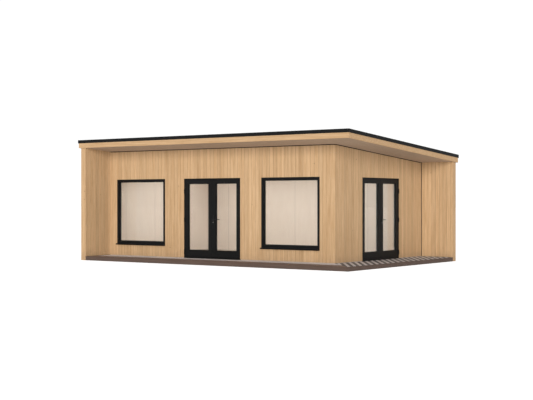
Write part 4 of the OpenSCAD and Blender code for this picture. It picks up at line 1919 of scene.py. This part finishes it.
@dataclass
class DoorPair:
    """A pair of glazed doors in its frame, with hinges and a lever handle on one leaf."""

    name: str
    side: Side
    edge: float = 0.002
    rail_joint: float = 0.0008
    cap_height: float = 0.004
    rail_joint_depth: float = 0.001
    glass_bite: float = 0.010
    overshoot: float = 0.01
    cap_radius: float = 0.009
    cap_inset: float = 0.003
    cap_dome: float = 0.002
    hinge_gap: float = 0.06
    half_plate: float = 0.017
    plate: float = 0.008
    cylinder_radius: float = 0.0085
    cylinder_depth: float = 0.006
    cylinder_out: float = 0.002
    cylinder_drop: float = 0.072
    cylinder_rim: float = 0.0015
    cylinder_dip: float = 0.001

    @property
    def place(self) -> Place:
        """Where the doors are drawn from."""
        low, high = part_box(f"{self.name}_frame")
        corner = Place.of_box(low, high, self.side).corner
        return Place(corner + UP * low.z, self.side)

    def leaf(self, hand: str, palette: Palette) -> None:
        """Model one leaf with its glass.

        Args:
            hand: "left" or "right".
            palette: The finishes.
        """
        body = f"{self.name.replace('_door', '')}_{hand}_leaf"
        node = f"{self.name}_{hand}_leaf"
        piece = BENCH.refined(f"{node}_profile", node)
        BENCH.chamfer(piece, self.edge, every_edge, shortest=0.06)
        BENCH.soften(piece, 20.0)
        glass_low, glass_high = self.place.local(*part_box(f"{self.name}_{hand}_glass"))
        door_low, door_high = self.place.local(*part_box(node))
        faces = (self.leaf_face, door_high.y)
        over = self.overshoot
        for x in (glass_low.x + self.glass_bite, glass_high.x - self.glass_bite):
            for z0, z1 in ((door_low.z - over, glass_low.z), (glass_high.z, door_high.z + over)):
                for depth, out in ((faces[0], -1.0), (faces[1], 1.0)):
                    near, far = sorted((depth + out * over,
                                        depth - out * self.rail_joint_depth))
                    slit = BENCH.block("rail_joint", (x - self.rail_joint / 2.0, near, z0),
                                       (x + self.rail_joint / 2.0, far, z1))
                    BENCH.carve(piece, BENCH.put(slit, self.place))
        install(piece, palette.get(palette.frames), body, (node,))
        SealedUnit(f"{self.name}_{hand}", f"{self.name}_{hand}_glass", self.place, body,
                   faces).build(palette)

    @property
    def leaf_face(self) -> float:
        """Depth of the leaves' outer face behind the frame's."""
        handle_low, handle_high = self.place.local(*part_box(f"{self.name}_handle"))
        leaf_high = self.place.local(*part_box(f"{self.name}_right_leaf"))[1]
        return handle_low.y + handle_high.y - leaf_high.y

    def handle(self, palette: Palette) -> None:
        """Model the handle set: the lever and plate, and the lock cylinder.

        Args:
            palette: The finishes.
        """
        node = f"{self.name}_handle"
        body = f"{self.name.replace('_door', '')}_right_leaf"
        lever = BENCH.refined(f"{self.name}_lever_set", node)
        BENCH.soften(lever, 30.0)
        low, high = self.place.local(*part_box(node))
        x = low.x + self.half_plate
        z = (low.z + high.z) / 2.0
        parts = []
        outer = self.leaf_face - self.plate
        for face, out in ((outer, -1.0), (low.y + high.y - outer, 1.0)):
            BENCH.pick()
            bpy.ops.mesh.primitive_cylinder_add(
                vertices=ROUND, radius=self.cylinder_radius, depth=self.cylinder_depth,
                location=(x, face + out * self.cylinder_out, z - self.cylinder_drop),
                rotation=(math.radians(90.0), 0.0, 0.0),
            )
            core = BENCH.settle(bpy.context.object)
            with BENCH.editing(core):
                BENCH.faces(lambda centre, normal, out=out: normal.y * out > FACING)
                bpy.ops.mesh.inset(thickness=self.cylinder_rim, depth=0.0)
                bpy.ops.mesh.extrude_region_move(
                    TRANSFORM_OT_translate={"value": (0.0, -out * self.cylinder_dip, 0.0)}
                )
            parts.append(core)
        cores = BENCH.put(BENCH.join(f"{self.name}_lock_cylinders", parts), self.place)
        install(BENCH.soften(cores), palette.get(palette.screw), body)
        install(lever, palette.get(palette.handle), body, (node,))

    def hinge_caps(self, palette: Palette) -> None:
        """Put a domed cap on both ends of every hinge pin.

        Args:
            palette: The finishes.
        """
        hinges = BENCH.refined(f"{self.name}_hinge_set", f"{self.name}_hinges")
        BENCH.soften(hinges, 20.0)
        install(hinges, palette.get(palette.frames),
                stands_for=(f"{self.name}_hinges",))
        low = self.place.local(*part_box(f"{self.name}_hinges"))[0]
        frame_low, frame_high = self.place.local(*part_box(f"{self.name}_frame"))
        leaf_low = self.place.local(*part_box(f"{self.name}_left_leaf"))[0]
        pins = (leaf_low.x + self.cap_radius,
                frame_low.x + frame_high.x - leaf_low.x - self.cap_radius)
        y = low.y + self.cap_radius
        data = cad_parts[f"{self.name}_hinges"].data
        heights = sorted({round(v.co.z, 4) for v in data.vertices})
        caps = []
        for way in (1.0, -1.0):
            ends = [z for z in heights
                    if not any(0.0 < (other - z) * way < self.hinge_gap for other in heights)]
            BENCH.pick()
            bpy.ops.mesh.primitive_cylinder_add(vertices=ROUND, radius=self.cap_radius,
                                                depth=self.cap_height)
            cap = bpy.context.object
            with BENCH.editing(cap):
                BENCH.faces(lambda centre, normal, way=way: normal.z * way > FACING)
                bpy.ops.mesh.inset(thickness=self.cap_inset, depth=0.0)
                bpy.ops.transform.translate(value=(0.0, 0.0, way * self.cap_dome))
            lift = way * self.cap_height / 2.0 - self.place.corner.z
            caps.append(BENCH.scatter("caps", cap, [Vector((x, y, z + lift))
                                                    for z in ends for x in pins]))
        piece = BENCH.put(BENCH.join(f"{self.name}_hinge_caps", caps), self.place)
        install(BENCH.soften(piece, 20.0), palette.get(palette.frames))

    def build(self, palette: Palette) -> None:
        """Model the doors.

        Args:
            palette: The finishes.
        """
        node = f"{self.name}_frame"
        piece = BENCH.refined(f"{node}_profile", node)
        BENCH.chamfer(piece, self.edge, every_edge, shortest=0.06)
        install(piece, palette.get(palette.frames), stands_for=(node,))
        for hand in ("left", "right"):
            self.leaf(hand, palette)
        self.handle(palette)
        self.hinge_caps(palette)


@dataclass
class Carcass:
    """The structure that the boards cover, kept as the frame has it."""

    nodes: tuple[str, ...] = ("base_cassette", "deck_frame", "left_fin", "right_fin")

    def build(self, palette: Palette) -> None:
        """Dress the structure.

        Args:
            palette: The finishes.
        """
        finish = Timber("structural_timber", CARCASS_PALE, CARCASS_DEEP, Axis.Y,
                        Axis.X, spread=0.0, joint_shade=0.0)
        for node in self.nodes:
            dress(node, palette.get(finish))


# ---- Studio ----


@dataclass
class Studio:
    """A white studio: a pale floor, a bright backdrop, soft lamps and the camera."""

    backdrop: float = 1.05
    floor_seen: float = 0.75
    floor_glow: float = 0.26
    ambient: float = 0.375
    key: float = 1.95
    key_azimuth: float = 30.5
    key_elevation: float = 9.0
    key_softness: float = 20.0
    room_power: float = 117.0
    mirrored: float = 0.62
    eye: tuple[float, float, float] = (17.505, -24.331, 1.61)
    azimuth: float = 35.75
    lens: float = 75.63
    rise: float = 0.00089
    farthest: float = 500.0
    floor_size: float = 400.0
    floor_drop: float = 0.0005
    floor_grey: float = 0.80
    floor_rough: float = 0.9
    key_place: tuple[float, float, float] = (0.0, -10.0, 8.0)
    panel_drop: float = 0.12
    panel_wide: float = 0.85
    panel_deep: float = 0.7

    def world(self) -> None:
        """Make the backdrop: bright where it is seen, softer as a light."""
        world = bpy.data.worlds.new("studio")
        world.use_nodes = True
        bpy.context.scene.world = world
        graph = Graph(world.node_tree)
        shine = world.node_tree.nodes["Background"]
        shine.inputs["Color"].default_value = (1.0, 1.0, 1.0, 1.0)
        rays = graph.add("ShaderNodeLightPath").outputs
        lit = graph.span(rays["Is Glossy Ray"], 0.0, 1.0, self.ambient, self.mirrored)
        extra = graph.math("MULTIPLY", rays["Is Camera Ray"], self.backdrop)
        graph.feed(shine.inputs["Strength"], graph.math("MAXIMUM", lit, extra))

    def floor(self) -> None:
        """Lay the pale floor."""
        BENCH.pick()
        bpy.ops.mesh.primitive_plane_add(size=self.floor_size,
                                         location=(0.0, 0.0, -self.floor_drop))
        floor = bpy.context.object
        floor.name = "studio_floor"
        material, graph, shader = new_material("pale_floor")
        shader.inputs["Base Color"].default_value = (*[self.floor_grey] * 3, 1.0)
        shader.inputs["Roughness"].default_value = self.floor_rough
        glow = graph.add("ShaderNodeEmission")
        graph.feed(glow.inputs["Strength"],
                   graph.span(graph.add("ShaderNodeLightPath").outputs["Is Camera Ray"],
                              0.0, 1.0, self.floor_glow, self.floor_seen))
        both = graph.add("ShaderNodeAddShader")
        graph.feed(both.inputs[0], shader.outputs[0])
        graph.feed(both.inputs[1], glow.outputs[0])
        graph.feed(material.node_tree.nodes["Material Output"].inputs["Surface"],
                   both.outputs[0])
        floor.data.materials.append(material)

    def lamps(self) -> None:
        """Hang a soft key light at the front left and a lit panel under the ceiling."""
        BENCH.pick()
        bpy.ops.object.light_add(type="SUN", location=self.key_place)
        key = bpy.context.object
        key.rotation_euler = (math.radians(90.0 - self.key_elevation), 0.0,
                              math.radians(self.key_azimuth))
        key.data.energy = self.key
        key.data.angle = math.radians(self.key_softness)
        low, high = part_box("floor_boards")
        middle = (low + high) / 2.0
        ceiling = RoofPlane.from_frame().height(high.y)
        bpy.ops.object.light_add(type="AREA",
                                 location=(middle.x, middle.y, ceiling - self.panel_drop))
        panel = bpy.context.object
        panel.data.shape = "RECTANGLE"
        panel.data.size = (high.x - low.x) * self.panel_wide
        panel.data.size_y = (high.y - low.y) * self.panel_deep
        panel.data.energy = self.room_power
        panel.visible_camera = False
        panel.visible_glossy = False
        panel.visible_transmission = False

    def camera(self) -> None:
        """Set up the camera."""
        BENCH.pick()
        bpy.ops.object.camera_add(location=self.eye,
                                  rotation=(math.radians(90.0), 0.0,
                                            math.radians(self.azimuth)))
        camera = bpy.context.object
        camera.data.lens = self.lens
        camera.data.shift_y = self.rise
        camera.data.clip_end = self.farthest
        bpy.context.scene.camera = camera
        bpy.context.scene.view_settings.view_transform = "Standard"

    def build(self) -> None:
        """Set up the studio."""
        self.world()
        self.floor()
        self.lamps()
        self.camera()


def main() -> None:
    """Build the looks round the frame."""
    logging.basicConfig(level=logging.INFO, format="%(message)s")
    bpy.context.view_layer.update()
    palette, fixings = Palette(), Fixings()
    roof = RoofPlane.from_frame()
    Studio().build()
    Carcass().build(palette)
    Cladding(roof).build(palette)
    TrimBoards(roof).build(palette, fixings)
    CoverStrips(roof).build(palette)
    Deck().build(palette, fixings)
    Lining().build(palette)
    Roof(roof).build(palette)
    for hand in ("left", "right"):
        Window(hand).build(palette)
    DoorPair("front_door", Side.FRONT).build(palette)
    DoorPair("side_door", Side.RIGHT).build(palette)


if __name__ == "__main__":
    main()
